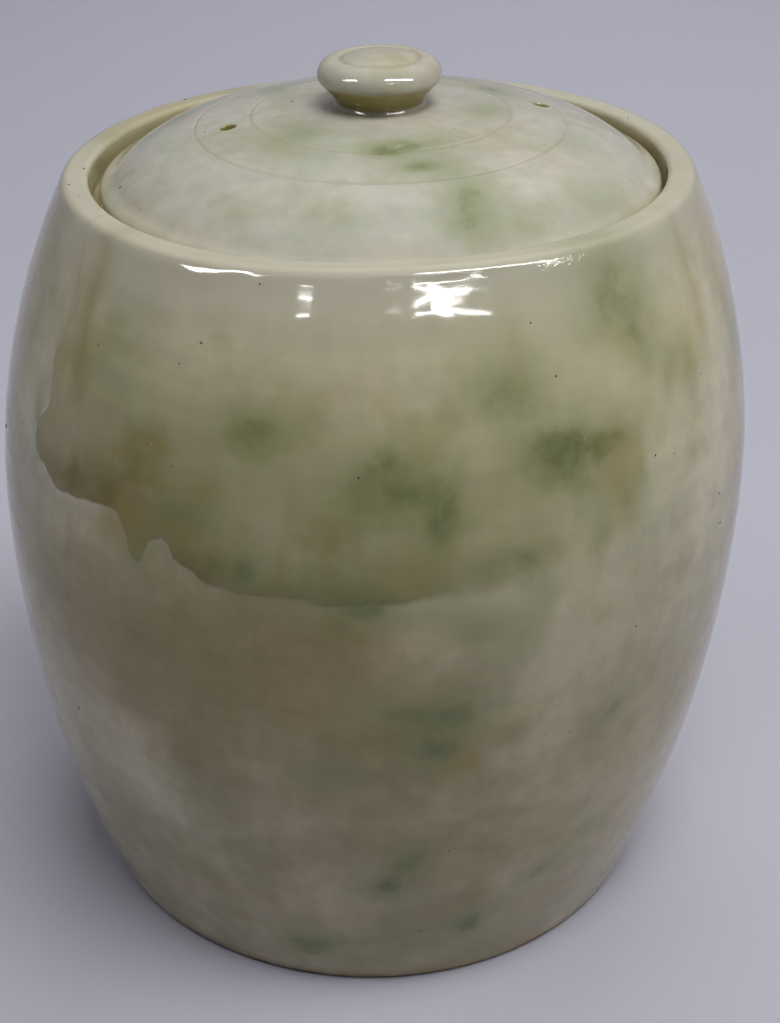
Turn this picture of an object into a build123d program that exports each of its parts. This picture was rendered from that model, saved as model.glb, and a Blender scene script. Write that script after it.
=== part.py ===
"""A hand-thrown stoneware jar with a domed lid: the jar, its lid, and the lid's knob.

Millimetres, +Z up. The origin is on the table, at the centre of the jar's foot.
Each piece is turned about Z, and only the lid's two vents break the turn.
"""
from build123d import *
from math import cos, radians, sin, sqrt
import os

# ---- Driving dimensions -------------------------------------------------------------
# Jar wall
foot_radius = 104.5          # where the wall meets the table
belly_radius = 130.0         # widest circle of the jar
belly_height = 150.5         # height of that circle
lip_radius = 102.5           # outside of the lip, before its edge is rounded
rim_height = 262.4           # top of the lip above the table
wall = 8.0                   # thickness of the thrown wall
floor_thickness = 9.0        # clay between the underside's recess and the inside
floor_corner = 16.0          # radius where the floor turns up into the wall
foot_bevel = 2.2             # trimmed edge around the foot
foot_ring_width = 15.0       # ring that stands on the table
foot_recess = 3.0            # hollow turned into the underside
recess_bevel = 1.2           # eased edge of that hollow

# Rim with its gallery, the inner ledge that carries the lid
lip_thickness = 9.3          # lip between its outside and the gallery's wall
lip_outer_rounding = 5.5     # the lip is wiped round, more on the outside
lip_inner_rounding = 3.0
lip_rounding_limit = 0.95    # most of the lip's thickness that the two may take
gallery_depth = 10.9         # from the top of the lip down to the ledge
ledge_width = 10.0           # ledge that the lid stands on
ledge_thickness = 5.5        # ledge at its inner edge
ledge_root_drop = 24.0       # the ledge's underside runs into the wall this far below
ledge_root_rounding = 10.0
ledge_rounding = 1.6

# Lid
lid_clearance = 2.1          # gap all round between the lid and the gallery's wall
lid_edge = 7.4               # height of the lid's outer edge
lid_edge_rounding = 2.6
lid_land = 9.0               # flat ring under the edge, where the lid stands
lid_land_rounding = 1.0
lid_hollow_edge = 4.8        # upright inner face above the land
lid_wall = 6.5               # thickness of the dome
lid_rise = 29.8              # top of the dome above the ledge
crown_radius = 268.0         # gentle curve over the middle of the lid
shoulder_radius = 62.0       # where the crown turns down into the shoulder
brim_width = 6.0             # flatter band around the dome
brim_rise = 2.4
brim_hollow = 9.0            # soft inside corner between the shoulder and the brim
vent_diameter = 4.8          # holes pierced through the soft clay with a small hole cutter
vents = [(55.0, 14.5), (49.5, 192.0)]   # distance from the axis, bearing in degrees

# Rings scored into the lid and the knob while the wheel turned
outer_ring_radius = 60.0
inner_ring_radius = 42.0
scored_width = 1.3

# Knob
knob_radius = 20.0           # widest circle of the head
knob_waist_height = 9.4      # height of that circle above the lid
knob_foot_radius = 14.0
knob_brow_radius = 19.0      # where the head ends and the neck's cone begins
knob_brow_height = 6.8
knob_head_height = 16.0      # ring around the boss on top
knob_boss_radius = 12.5
knob_boss_rise = 1.8
knob_seat_margin = 2.0       # flat of the lid left showing around the knob's foot

cutter_overrun = 1.0         # cutters reach this far past the faces that they open
match_tolerance = 0.01       # an edge counts as found within this distance

# ---- Derived sizes ------------------------------------------------------------------
gallery_radius = lip_radius - lip_thickness
mouth_radius = gallery_radius - ledge_width
ledge_height = rim_height - gallery_depth
ledge_root_height = ledge_height - ledge_root_drop
floor_height = foot_recess + floor_thickness
recess_radius = foot_radius - foot_ring_width

lid_radius = gallery_radius - lid_clearance
lid_edge_height = ledge_height + lid_edge
hollow_radius = lid_radius - lid_land
lid_top = ledge_height + lid_rise
crown_centre_height = lid_top - crown_radius
knob_seat_radius = knob_foot_radius + knob_seat_margin


def arc_radius(rise, inset):
    """Radius of an arc that starts upright and has moved in by inset after this rise."""
    return (rise**2 + inset**2) / (2 * inset)


def reach(radius, distance):
    """Half the chord of a circle at this distance from its centre."""
    return sqrt(radius**2 - distance**2)


# Both arcs of the wall stand upright at the belly, so their centres are level with it.
lower_arc_radius = arc_radius(belly_height, belly_radius - foot_radius)
upper_arc_radius = arc_radius(rim_height - belly_height, belly_radius - lip_radius)


def inside_radius(height):
    """Radius of the jar's inside at a height, one wall inside the outer arc."""
    arc = lower_arc_radius if height < belly_height else upper_arc_radius
    return belly_radius - arc + reach(arc - wall, height - belly_height)


def crown_height(radius):
    """Height of the lid's crown at this distance from the axis."""
    return crown_centre_height + reach(crown_radius, radius)


knob_seat_height = crown_height(knob_seat_radius)


def rings_at(part, radius, height):
    """The circular edges of a part that have this radius and this height."""
    circles = part.edges().filter_by(GeomType.CIRCLE)
    at_height = circles.filter_by_position(
        Axis.Z, height - match_tolerance, height + match_tolerance
    )
    return at_height.filter_by(lambda edge: abs(edge.radius - radius) < match_tolerance)


# ---- Jar: floor, wall, gallery and lip, thrown as one piece ---------------------------
with BuildPart() as jar_body:
    with BuildSketch(Plane.XZ):
        with BuildLine():
            Polyline((0, rim_height), (0, 0), (foot_radius, 0))
            TangentArc((belly_radius, belly_height), (foot_radius, 0), tangent=(0, -1))
            TangentArc((belly_radius, belly_height), (lip_radius, rim_height), tangent=(0, 1))
            Line((lip_radius, rim_height), (0, rim_height))
        make_face()
    revolve(axis=Axis.Z)
    chamfer(rings_at(jar_body, foot_radius, 0), foot_bevel)

    # The inside: floor, wall, the ledge's underside, the ledge, and out past the lip.
    floor_corner_point = (inside_radius(floor_height), floor_height)
    ledge_root_point = (inside_radius(ledge_root_height), ledge_root_height)
    inside_belly_point = (belly_radius - wall, belly_height)
    with BuildSketch(Plane.XZ):
        with BuildLine():
            Line((0, floor_height), floor_corner_point)
            TangentArc(inside_belly_point, floor_corner_point, tangent=(0, -1))
            TangentArc(inside_belly_point, ledge_root_point, tangent=(0, 1))
            Polyline(
                ledge_root_point,
                (mouth_radius, ledge_height - ledge_thickness),
                (mouth_radius, ledge_height),
                (gallery_radius, ledge_height),
                (gallery_radius, rim_height + cutter_overrun),
                (0, rim_height + cutter_overrun),
                (0, floor_height),
            )
        make_face()
    revolve(axis=Axis.Z, mode=Mode.SUBTRACT)
    fillet(rings_at(jar_body, *floor_corner_point), floor_corner)
    fillet(rings_at(jar_body, *ledge_root_point), ledge_root_rounding)
    fillet(rings_at(jar_body, mouth_radius, ledge_height - ledge_thickness), ledge_rounding)
    fillet(rings_at(jar_body, mouth_radius, ledge_height), ledge_rounding)
    fillet(rings_at(jar_body, gallery_radius, ledge_height), ledge_rounding)

    # The lip's two roundings share its thickness, so a thin lip limits them both.
    lip_roundings = lip_outer_rounding + lip_inner_rounding
    rounding_share = min(1, lip_rounding_limit * lip_thickness / lip_roundings)
    fillet(rings_at(jar_body, gallery_radius, rim_height), rounding_share * lip_inner_rounding)
    fillet(rings_at(jar_body, lip_radius, rim_height), rounding_share * lip_outer_rounding)

    # The underside is turned hollow, so that the jar stands on a ring.
    with BuildSketch(Plane.XY):
        Circle(recess_radius)
    extrude(amount=foot_recess, mode=Mode.SUBTRACT)
    chamfer(rings_at(jar_body, recess_radius, 0), recess_bevel)

# ---- Lid: dome, brim and edge, standing on the ledge ---------------------------------
shoulder_turn = shoulder_radius / crown_radius
shoulder_tangent = (reach(1, shoulder_turn), -shoulder_turn)
shoulder_point = (shoulder_radius, crown_height(shoulder_radius))
brim_point = (lid_radius - brim_width, lid_edge_height + brim_rise)

inner_crown_share = (crown_radius - lid_wall) / crown_radius
inner_shoulder_point = (
    shoulder_radius * inner_crown_share,
    crown_centre_height + (shoulder_point[1] - crown_centre_height) * inner_crown_share,
)
hollow_edge_point = (hollow_radius, ledge_height + lid_hollow_edge)

with BuildPart() as lid:
    with BuildSketch(Plane.XZ):
        with BuildLine():
            Polyline((0, ledge_height), (0, knob_seat_height), (knob_seat_radius, knob_seat_height))
            TangentArc(
                shoulder_point,
                (knob_seat_radius, knob_seat_height),
                tangent=(-shoulder_tangent[0], -shoulder_tangent[1]),
            )
            TangentArc(shoulder_point, brim_point, tangent=shoulder_tangent)
            Polyline(
                brim_point,
                (lid_radius, lid_edge_height),
                (lid_radius, ledge_height),
                (0, ledge_height),
            )
        make_face()
    revolve(axis=Axis.Z)
    fillet(rings_at(lid, *brim_point), brim_hollow)
    fillet(rings_at(lid, lid_radius, lid_edge_height), lid_edge_rounding)

    # The hollow underside, one wall below the crown and the shoulder.
    with BuildSketch(Plane.XZ):
        with BuildLine():
            TangentArc((0, lid_top - lid_wall), inner_shoulder_point, tangent=(1, 0))
            TangentArc(inner_shoulder_point, hollow_edge_point, tangent=shoulder_tangent)
            Polyline(
                hollow_edge_point,
                (hollow_radius, ledge_height - cutter_overrun),
                (0, ledge_height - cutter_overrun),
                (0, lid_top - lid_wall),
            )
        make_face()
    revolve(axis=Axis.Z, mode=Mode.SUBTRACT)
    fillet(rings_at(lid, hollow_radius, ledge_height), lid_land_rounding)
    fillet(rings_at(lid, lid_radius, ledge_height), lid_land_rounding)

    # Two rings scored into the crown.
    with BuildSketch(Plane.XZ):
        for ring_radius in (outer_ring_radius, inner_ring_radius):
            with Locations((ring_radius, crown_height(ring_radius))):
                Circle(scored_width / 2)
    revolve(axis=Axis.Z, mode=Mode.SUBTRACT)

    # Vents, pierced straight down through the dome.
    for distance, bearing in vents:
        turn = radians(bearing)
        with Locations((distance * cos(turn), distance * sin(turn), lid_top)):
            Hole(vent_diameter / 2, depth=lid_rise)

# ---- Knob: head and neck, luted onto the flat of the lid ------------------------------
brow_point = (knob_brow_radius, knob_seat_height + knob_brow_height)
waist_point = (knob_radius, knob_seat_height + knob_waist_height)
boss_point = (knob_boss_radius, knob_seat_height + knob_head_height)
knob_top = knob_seat_height + knob_head_height + knob_boss_rise

with BuildPart() as lid_knob:
    with BuildSketch(Plane.XZ):
        with BuildLine():
            Polyline(
                (0, knob_top),
                (0, knob_seat_height),
                (knob_foot_radius, knob_seat_height),
                brow_point,
            )
            TangentArc(waist_point, brow_point, tangent=(0, -1))
            TangentArc(waist_point, boss_point, tangent=(0, 1))
            TangentArc((0, knob_top), boss_point, tangent=(1, 0))
        make_face()
    revolve(axis=Axis.Z)

    # The ring scored around the boss.
    with BuildSketch(Plane.XZ):
        with Locations(boss_point):
            Circle(scored_width / 2)
    revolve(axis=Axis.Z, mode=Mode.SUBTRACT)

# ---- Files ----------------------------------------------------------------------------
jar_body.part.label = "jar_body"
lid.part.label = "lid"
lid_knob.part.label = "lid_knob"

os.makedirs("parts", exist_ok=True)
export_step(jar_body.part, "parts/jar_body.step")
export_step(lid.part, "parts/lid.step")
export_step(lid_knob.part, "parts/lid_knob.step")
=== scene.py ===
"""A hand-thrown stoneware jar with a domed lid and a knob, glazed twice and sponged with copper.

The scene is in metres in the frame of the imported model: +Z up, the front towards -Y.
Sizes of pieces and marks are in millimetres. A bearing is in degrees round the jar, 0 at
the front, +90 at the +X side and 180 at the back.
"""
from __future__ import annotations

import cmath
import logging
import math
from dataclasses import dataclass, field
from enum import Enum, IntEnum
from typing import Any, Sequence

import bmesh
import bpy
import numpy as np
from mathutils import Matrix, Vector


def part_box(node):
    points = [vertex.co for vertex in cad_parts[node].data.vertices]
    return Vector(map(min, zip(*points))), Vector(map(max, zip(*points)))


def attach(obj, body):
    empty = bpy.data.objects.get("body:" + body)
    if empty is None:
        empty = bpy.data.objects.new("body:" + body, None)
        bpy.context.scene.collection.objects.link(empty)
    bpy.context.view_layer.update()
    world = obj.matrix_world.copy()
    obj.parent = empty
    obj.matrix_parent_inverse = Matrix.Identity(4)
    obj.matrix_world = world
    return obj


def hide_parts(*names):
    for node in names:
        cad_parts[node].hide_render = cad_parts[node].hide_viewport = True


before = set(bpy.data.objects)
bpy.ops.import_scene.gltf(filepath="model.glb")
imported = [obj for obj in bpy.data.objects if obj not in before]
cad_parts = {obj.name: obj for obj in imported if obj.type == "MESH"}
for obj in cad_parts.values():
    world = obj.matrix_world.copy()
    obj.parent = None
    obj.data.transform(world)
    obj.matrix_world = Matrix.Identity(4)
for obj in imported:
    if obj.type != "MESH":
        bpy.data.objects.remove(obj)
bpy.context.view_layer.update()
MM = 0.001
FULL_TURN = 360.0

# Kinds of node that the trees use often, and the settings that go with them.
MATHS, RAMP, MIX = "ShaderNodeMath", "ShaderNodeMapRange", "ShaderNodeMix"
SMOOTH = {"interpolation_type": "SMOOTHSTEP"}
BLEND = {"data_type": "RGBA"}
TINT = {"data_type": "RGBA", "blend_type": "MULTIPLY"}

log = logging.getLogger("stoneware_jar")


# ---- Small tools ------------------------------------------------------------------------
def linear(colour: str) -> tuple[float, float, float, float]:
    """Turns an sRGB hex colour into linear red, green, blue and alpha.

    Args:
        colour: the colour as "#rrggbb".

    Returns:
        Four values from 0 to 1, with an alpha of 1.
    """
    parts = [int(colour[i : i + 2], 16) / 255 for i in (1, 3, 5)]
    lit = [p / 12.92 if p <= 0.04045 else ((p + 0.055) / 1.055) ** 2.4 for p in parts]
    return (*lit, 1.0)


def socket_of(sockets: Any, key: str) -> Any:
    """Finds a node's socket by its name or its identifier.

    Args:
        sockets: a node's inputs or outputs.
        key: the socket's name or identifier.

    Returns:
        The socket. Of several with one name it is the enabled one.
    """
    return next(s for s in sockets if key in (s.name, s.identifier) and s.enabled)


def add_node(tree: Any, kind: str, feeds: dict | list | None = None, **settings: Any) -> Any:
    """Adds a node to a tree, sets it up and links what feeds it.

    Args:
        tree: the node tree.
        kind: the node's type, such as "ShaderNodeMath".
        feeds: what goes into its sockets, as a list in the order of the enabled ones, or as
            a dictionary by name. Each is a node, a (node, output) pair or a plain value.
        settings: the node's own properties.

    Returns:
        The new node.
    """
    node = tree.nodes.new(kind)
    node.location.x = 180.0 * len(tree.nodes)
    for name, value in settings.items():
        setattr(node, name, value)
    if isinstance(feeds, list):
        pairs = list(zip([s for s in node.inputs if s.enabled], feeds))
    else:
        pairs = [(socket_of(node.inputs, key), value) for key, value in (feeds or {}).items()]
    for target, value in pairs:
        if isinstance(value, bpy.types.Node):
            tree.links.new(next(s for s in value.outputs if s.enabled), target)
        elif isinstance(value, tuple) and isinstance(value[0], bpy.types.Node):
            tree.links.new(socket_of(value[0].outputs, value[1]), target)
        else:
            target.default_value = value
    return node


def new_material(name: str) -> tuple[Any, Any]:
    """Makes a material with an empty tree.

    Args:
        name: the material's name.

    Returns:
        The material and its tree.
    """
    made = bpy.data.materials.new(name)
    made.use_nodes = True
    made.node_tree.nodes.clear()
    return made, made.node_tree


def smoothstep(value: np.ndarray, low: float, high: float) -> np.ndarray:
    """Rises smoothly from 0 at low to 1 at high.

    Args:
        value: the values to map.
        low: where the result starts to leave 0.
        high: where the result reaches 1.

    Returns:
        Values from 0 to 1.
    """
    share = np.clip((value - low) / (high - low), 0.0, 1.0)
    return share * share * (3.0 - 2.0 * share)


def bend(start: complex, end: complex, leaving: complex, share: float) -> complex:
    """A point on the arc that leaves start along a direction and ends at end.

    Args:
        start: where the arc starts.
        end: where it ends.
        leaving: unit direction in which it leaves the start.
        share: how far along the arc, from 0 to 1.

    Returns:
        The point.
    """
    half_turn = cmath.phase((end - start) / leaving)
    if abs(half_turn) < 1e-6:
        return start + (end - start) * share
    diameter = abs(end - start) / math.sin(half_turn)
    return start + leaving * diameter / 2j * (cmath.exp(2j * half_turn * share) - 1)


def on_plan(bearing: float, distance: float) -> tuple[float, float]:
    """X and Y of a spot at a bearing and a distance from the axis."""
    turn = math.radians(bearing)
    return math.sin(turn) * distance, -math.cos(turn) * distance


def points_of(mesh: Any) -> tuple[np.ndarray, np.ndarray]:
    """Reads a mesh's points.

    Args:
        mesh: the mesh.

    Returns:
        The position of each point in millimetres, and its normal.
    """
    place, facing = np.empty(len(mesh.vertices) * 3), np.empty(len(mesh.vertices) * 3)
    mesh.vertices.foreach_get("co", place)
    mesh.vertices.foreach_get("normal", facing)
    return place.reshape(-1, 3) / MM, facing.reshape(-1, 3)


def signed_turn(bearing: np.ndarray, centre: float) -> np.ndarray:
    """Bearings as degrees from a centre, from -180 to 180.

    Args:
        bearing: the bearings in degrees.
        centre: the bearing that counts as 0.

    Returns:
        The turns from the centre in degrees.
    """
    return (bearing - centre + 180.0) % FULL_TURN - 180.0


class ClayNoise:
    """Smooth random values in space that are the same on every run."""

    CELLS = 32

    def __init__(self, seed: int) -> None:
        """Fills the lattice of random values from a seed."""
        self.values = np.random.default_rng(seed).random((self.CELLS,) * 3) * 2.0 - 1.0

    def at(self, points: np.ndarray, size: Any, octaves: int = 1) -> np.ndarray:
        """Reads the noise.

        Args:
            points: positions in millimetres, one a row.
            size: size of the lumps in millimetres, one number or one for each axis.
            octaves: how many layers of finer lumps are added.

        Returns:
            Values of about -1 to 1, one for each point.
        """
        total, weight = np.zeros(len(points)), 0.0
        for octave in range(octaves):
            place = points / np.asarray(size) * 2.0**octave + 7.3 * octave
            cell = np.floor(place).astype(int)
            share = place - cell
            share = share * share * (3.0 - 2.0 * share)
            layer = np.zeros(len(points))
            for corner in range(8):
                step = np.array([corner & 1, corner >> 1 & 1, corner >> 2 & 1])
                part = np.where(step, share, 1.0 - share).prod(axis=1)
                x, y, z = ((cell + step) % self.CELLS).T
                layer += part * self.values[x, y, z]
            total += layer * 0.5**octave
            weight += 0.5**octave
        return total / weight


# ---- Outlines of turned pieces ------------------------------------------------------------
class Zone(IntEnum):
    """The kind of surface that a stretch of a half section makes."""

    BARE = 0
    WALL = 1
    LIP = 2
    GALLERY = 3
    SEAT = 4
    INSIDE = 5


@dataclass
class Outline:
    """A turned piece's half section in millimetres, drawn from the axis round to the axis.

    A point is radius + height * 1j. The clay lies to the left of the drawing direction.
    """

    points: list[complex] = field(default_factory=list)
    zones: list[Zone] = field(default_factory=list)
    roundings: dict[int, float] = field(default_factory=dict)
    rounding_turn: float = 12.0

    def start(self, radius: float, height: float, zone: Zone) -> None:
        """Sets the first point."""
        self.points.append(complex(radius, height))
        self.zones.append(zone)

    def line(self, radius: float, height: float, zone: Zone, step: float) -> None:
        """Draws a straight stretch.

        Args:
            radius: where it ends, from the axis.
            height: where it ends, above the table.
            zone: the kind of surface it makes.
            step: largest distance between its points.
        """
        end = complex(radius, height)
        self.arc(radius, height, (end - self.points[-1]) / abs(end - self.points[-1]), zone, step)

    def arc(self, radius: float, height: float, leaving: complex, zone: Zone, step: float) -> None:
        """Draws an arc.

        Args:
            radius: where it ends, from the axis.
            height: where it ends, above the table.
            leaving: unit direction in which it leaves the last point.
            zone: the kind of surface it makes.
            step: largest distance between its points.
        """
        start, end = self.points[-1], complex(radius, height)
        count = max(1, math.ceil(abs(end - start) / step))
        for number in range(1, count + 1):
            self.points.append(bend(start, end, leaving, number / count))
            self.zones.append(zone)

    def round_here(self, rounding: float, zone: Zone | None = None) -> None:
        """Rounds the corner at the last point.

        Args:
            rounding: the radius in millimetres.
            zone: the kind of surface it makes, if not that of the stretch before it.
        """
        self.roundings[len(self.points) - 1] = rounding
        if zone is not None:
            self.zones[-1] = zone

    def rounded(self) -> tuple[np.ndarray, np.ndarray]:
        """Works the roundings into the outline.

        Returns:
            The points as rows of radius and height, and the zone of each.
        """
        points, zones = list(self.points), list(self.zones)
        for place in sorted(self.roundings, reverse=True):
            corner = points[place]
            before = (corner - points[place - 1]) / abs(corner - points[place - 1])
            after = (points[place + 1] - corner) / abs(points[place + 1] - corner)
            turn = abs(cmath.phase(after / before))
            reach = self.roundings[place] * math.tan(turn / 2)
            first = last = place
            while abs(points[first - 1] - corner) < reach:
                first -= 1
            while abs(points[last + 1] - corner) < reach:
                last += 1
            count = max(3, math.ceil(math.degrees(turn) / self.rounding_turn))
            start, end = corner - before * reach, corner + after * reach
            curve = [bend(start, end, before, n / count) for n in range(count + 1)]
            points[first : last + 1] = curve
            zones[first : last + 1] = [zones[place]] * len(curve)
        return np.array([[p.real, p.imag] for p in points]), np.array(zones)


# ---- Geometry Nodes -----------------------------------------------------------------------
def new_tree(name: str, inputs: dict[str, str]) -> tuple[Any, Any]:
    """Makes an empty Geometry Nodes tree with one geometry output.

    Args:
        name: the tree's name.
        inputs: the kind of socket for each named input.

    Returns:
        The tree and its input node.
    """
    tree = bpy.data.node_groups.new(name, "GeometryNodeTree")
    for title, kind in inputs.items():
        tree.interface.new_socket(title, in_out="INPUT", socket_type=kind)
    tree.interface.new_socket("Geometry", in_out="OUTPUT", socket_type="NodeSocketGeometry")
    return tree, add_node(tree, "NodeGroupInput")


def row_and_turn(tree: Any, given: Any, rows: Any) -> tuple[Any, Any]:
    """Finds which row of the half section, and which bearing, a point of the grid stands for.

    Args:
        tree: the turned_form tree.
        given: its input node.
        rows: the number of rows.

    Returns:
        The row, and the bearing in radians.
    """
    index = add_node(tree, "GeometryNodeInputIndex")
    row = add_node(tree, MATHS, [index, rows], operation="FLOORED_MODULO")
    turn = index
    for operation, value in (
        ("ADD", 0.5), ("DIVIDE", rows), ("FLOOR", 0.0),
        ("DIVIDE", (given, "Columns")), ("MULTIPLY", math.tau),
    ):
        turn = add_node(tree, MATHS, [turn, value], operation=operation)
    return row, turn


def thrown_radius(tree: Any, given: Any, parts: Any, turn: Any, thrown: Any) -> Any:
    """Works out the radius with the wheel's traces in it.

    Finger rings climb as a spiral, one turn of the wheel for each ring, and the soft clay
    went a little out of round.

    Args:
        tree: the turned_form tree.
        given: its input node.
        parts: radius and height of the half section, as X and Z.
        turn: the bearing in radians.
        thrown: how far a point shows the rings, from 0 to 1.

    Returns:
        The radius.
    """
    radius = (parts, "X")
    rings_up = add_node(
        tree, MATHS, [(parts, "Z"), (given, "Ring Spacing")], operation="DIVIDE"
    )
    wander = add_node(
        tree,
        "ShaderNodeTexNoise",
        {
            "W": add_node(tree, MATHS, [rings_up, (given, "Seed")], operation="ADD"),
            "Scale": 0.37,
            "Detail": 2.0,
        },
        noise_dimensions="1D",
    )
    ring = rings_up
    for operation, value in (
        ("ADD", wander), ("MULTIPLY", math.tau), ("ADD", turn), ("SINE", 0.0),
        ("MULTIPLY", (given, "Ring Depth")), ("MULTIPLY", thrown),
    ):
        ring = add_node(tree, MATHS, [ring, value], operation=operation)
    oval = turn
    for operation, value in (
        ("MULTIPLY", 2.0), ("COSINE", 0.0), ("MULTIPLY", radius),
        ("MULTIPLY", (given, "Out of Round")),
    ):
        oval = add_node(tree, MATHS, [oval, value], operation=operation)
    reach = add_node(tree, MATHS, [radius, oval], operation="ADD")
    return add_node(tree, MATHS, [reach, ring], operation="ADD")


def rippled(tree: Any, given: Any, shape: Any, thrown: Any) -> Any:
    """Ripples the skin of the glaze, which froze while it still moved.

    Args:
        tree: the turned_form tree.
        given: its input node.
        shape: the turned form.
        thrown: how far a point takes part, from 0 to 1.

    Returns:
        The rippled form.
    """
    ripple = add_node(
        tree,
        "ShaderNodeTexNoise",
        {
            "Vector": add_node(tree, "GeometryNodeInputPosition"),
            "W": (given, "Seed"),
            "Scale": add_node(
                tree, MATHS, [1.0, (given, "Ripple Size")], operation="DIVIDE"
            ),
            "Detail": 1.0,
        },
        noise_dimensions="4D",
    )
    lift = ripple
    for operation, value in (
        ("SUBTRACT", 0.5), ("MULTIPLY", (given, "Ripple Depth")), ("MULTIPLY", thrown),
    ):
        lift = add_node(tree, MATHS, [lift, value], operation=operation)
    pushed = add_node(
        tree,
        "ShaderNodeVectorMath",
        {"Vector": add_node(tree, "GeometryNodeInputNormal"), "Scale": lift},
        operation="SCALE",
    )
    return add_node(tree, "GeometryNodeSetPosition", {"Geometry": shape, "Offset": pushed})


def turned_form_tree() -> Any:
    """Builds the tree that turns a half section into a thrown form.

    Its input is a line of points with X as the radius and Z as the height. The tree sweeps
    it round, adds the spiral rings that fingers leave in the clay, and ripples the glaze.

    Returns:
        The tree.
    """
    tree, given = new_tree(
        "turned_form",
        {
            "Half Section": "NodeSocketGeometry",
            "Columns": "NodeSocketInt",
            "Out of Round": "NodeSocketFloat",
            "Ring Depth": "NodeSocketFloat",
            "Ring Spacing": "NodeSocketFloat",
            "Ripple Depth": "NodeSocketFloat",
            "Ripple Size": "NodeSocketFloat",
            "Seed": "NodeSocketFloat",
            "Material": "NodeSocketMaterial",
        },
    )
    section = (given, "Half Section")
    rows = add_node(
        tree, "GeometryNodeAttributeDomainSize", {"Geometry": section}, component="MESH"
    )
    across = add_node(tree, MATHS, [(given, "Columns"), 1.0], operation="ADD")
    shape = add_node(tree, "GeometryNodeMeshGrid", {"Vertices X": across, "Vertices Y": rows})
    row, turn = row_and_turn(tree, given, rows)

    thrown_here = add_node(
        tree, "GeometryNodeInputNamedAttribute", {"Name": "thrown"}, data_type="FLOAT"
    )
    place, thrown = (
        add_node(
            tree,
            "GeometryNodeSampleIndex",
            {"Geometry": section, "Value": value, "Index": row},
            data_type=kind,
        )
        for value, kind in (
            (add_node(tree, "GeometryNodeInputPosition"), "FLOAT_VECTOR"),
            (thrown_here, "FLOAT"),
        )
    )
    parts = add_node(tree, "ShaderNodeSeparateXYZ", {"Vector": place})
    reach = thrown_radius(tree, given, parts, turn, thrown)
    sine = add_node(tree, MATHS, [turn], operation="SINE")
    cosine = add_node(tree, MATHS, [turn], operation="COSINE")
    forwards = add_node(tree, MATHS, [cosine, -1.0], operation="MULTIPLY")
    swept = add_node(
        tree,
        "ShaderNodeCombineXYZ",
        {
            "X": add_node(tree, MATHS, [reach, sine], operation="MULTIPLY"),
            "Y": add_node(tree, MATHS, [reach, forwards], operation="MULTIPLY"),
            "Z": (parts, "Z"),
        },
    )
    for title, value, kind in (("row", row, "INT"), ("thrown", thrown, "FLOAT")):
        shape = add_node(
            tree,
            "GeometryNodeStoreNamedAttribute",
            {"Geometry": shape, "Name": title, "Value": value},
            data_type=kind,
        )
    shape = add_node(tree, "GeometryNodeSetPosition", {"Geometry": shape, "Position": swept})
    shape = add_node(tree, "GeometryNodeMergeByDistance", {"Geometry": shape, "Distance": 4e-6})
    shape = rippled(tree, given, shape, thrown_here)
    shape = add_node(tree, "GeometryNodeSetShadeSmooth", {"Geometry": shape})
    shape = add_node(tree, "GeometryNodeRealizeInstances", {"Geometry": shape})
    shape = add_node(
        tree, "GeometryNodeSetMaterial", {"Geometry": shape, "Material": (given, "Material")}
    )
    add_node(tree, "NodeGroupOutput", {"Geometry": shape})
    return tree


def scattered_specks_tree() -> Any:
    """Builds the tree that sets a small flattened bead of melted iron on each point.

    The points carry the attributes "size" and "facing".

    Returns:
        The tree.
    """
    tree, given = new_tree(
        "scattered_specks",
        {
            "Points": "NodeSocketGeometry",
            "Flatness": "NodeSocketFloat",
            "Unevenness": "NodeSocketFloat",
            "Seed": "NodeSocketFloat",
            "Material": "NodeSocketMaterial",
        },
    )
    bead = add_node(tree, "GeometryNodeMeshUVSphere", {"Segments": 9, "Rings": 5, "Radius": 1.0})
    squash = add_node(
        tree, "ShaderNodeCombineXYZ", {"X": 1.0, "Y": 1.0, "Z": (given, "Flatness")}
    )
    flat = add_node(tree, "GeometryNodeTransform", {"Geometry": bead, "Scale": squash})
    facing = add_node(
        tree, "GeometryNodeInputNamedAttribute", {"Name": "facing"}, data_type="FLOAT_VECTOR"
    )
    size = add_node(tree, "GeometryNodeInputNamedAttribute", {"Name": "size"}, data_type="FLOAT")
    upright = add_node(
        tree, "FunctionNodeAlignRotationToVector", {"Vector": facing}, axis="Z"
    )
    placed = add_node(
        tree,
        "GeometryNodeInstanceOnPoints",
        {"Points": (given, "Points"), "Instance": flat, "Rotation": upright, "Scale": size},
    )
    shape = add_node(tree, "GeometryNodeRealizeInstances", {"Geometry": placed})
    wobble = add_node(
        tree,
        "ShaderNodeTexNoise",
        {
            "Vector": add_node(tree, "GeometryNodeInputPosition"),
            "W": (given, "Seed"),
            "Scale": 2600.0,
        },
        noise_dimensions="4D",
    )
    push = add_node(
        tree, "ShaderNodeVectorMath", [(wobble, "Color"), (0.5, 0.5, 0.5)], operation="SUBTRACT"
    )
    push = add_node(
        tree, "ShaderNodeVectorMath", {"Vector": push, "Scale": (given, "Unevenness")},
        operation="SCALE",
    )
    shape = add_node(tree, "GeometryNodeSetPosition", {"Geometry": shape, "Offset": push})
    shape = add_node(tree, "GeometryNodeSetShadeSmooth", {"Geometry": shape})
    shape = add_node(
        tree, "GeometryNodeSetMaterial", {"Geometry": shape, "Material": (given, "Material")}
    )
    add_node(tree, "NodeGroupOutput", {"Geometry": shape})
    return tree


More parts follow.
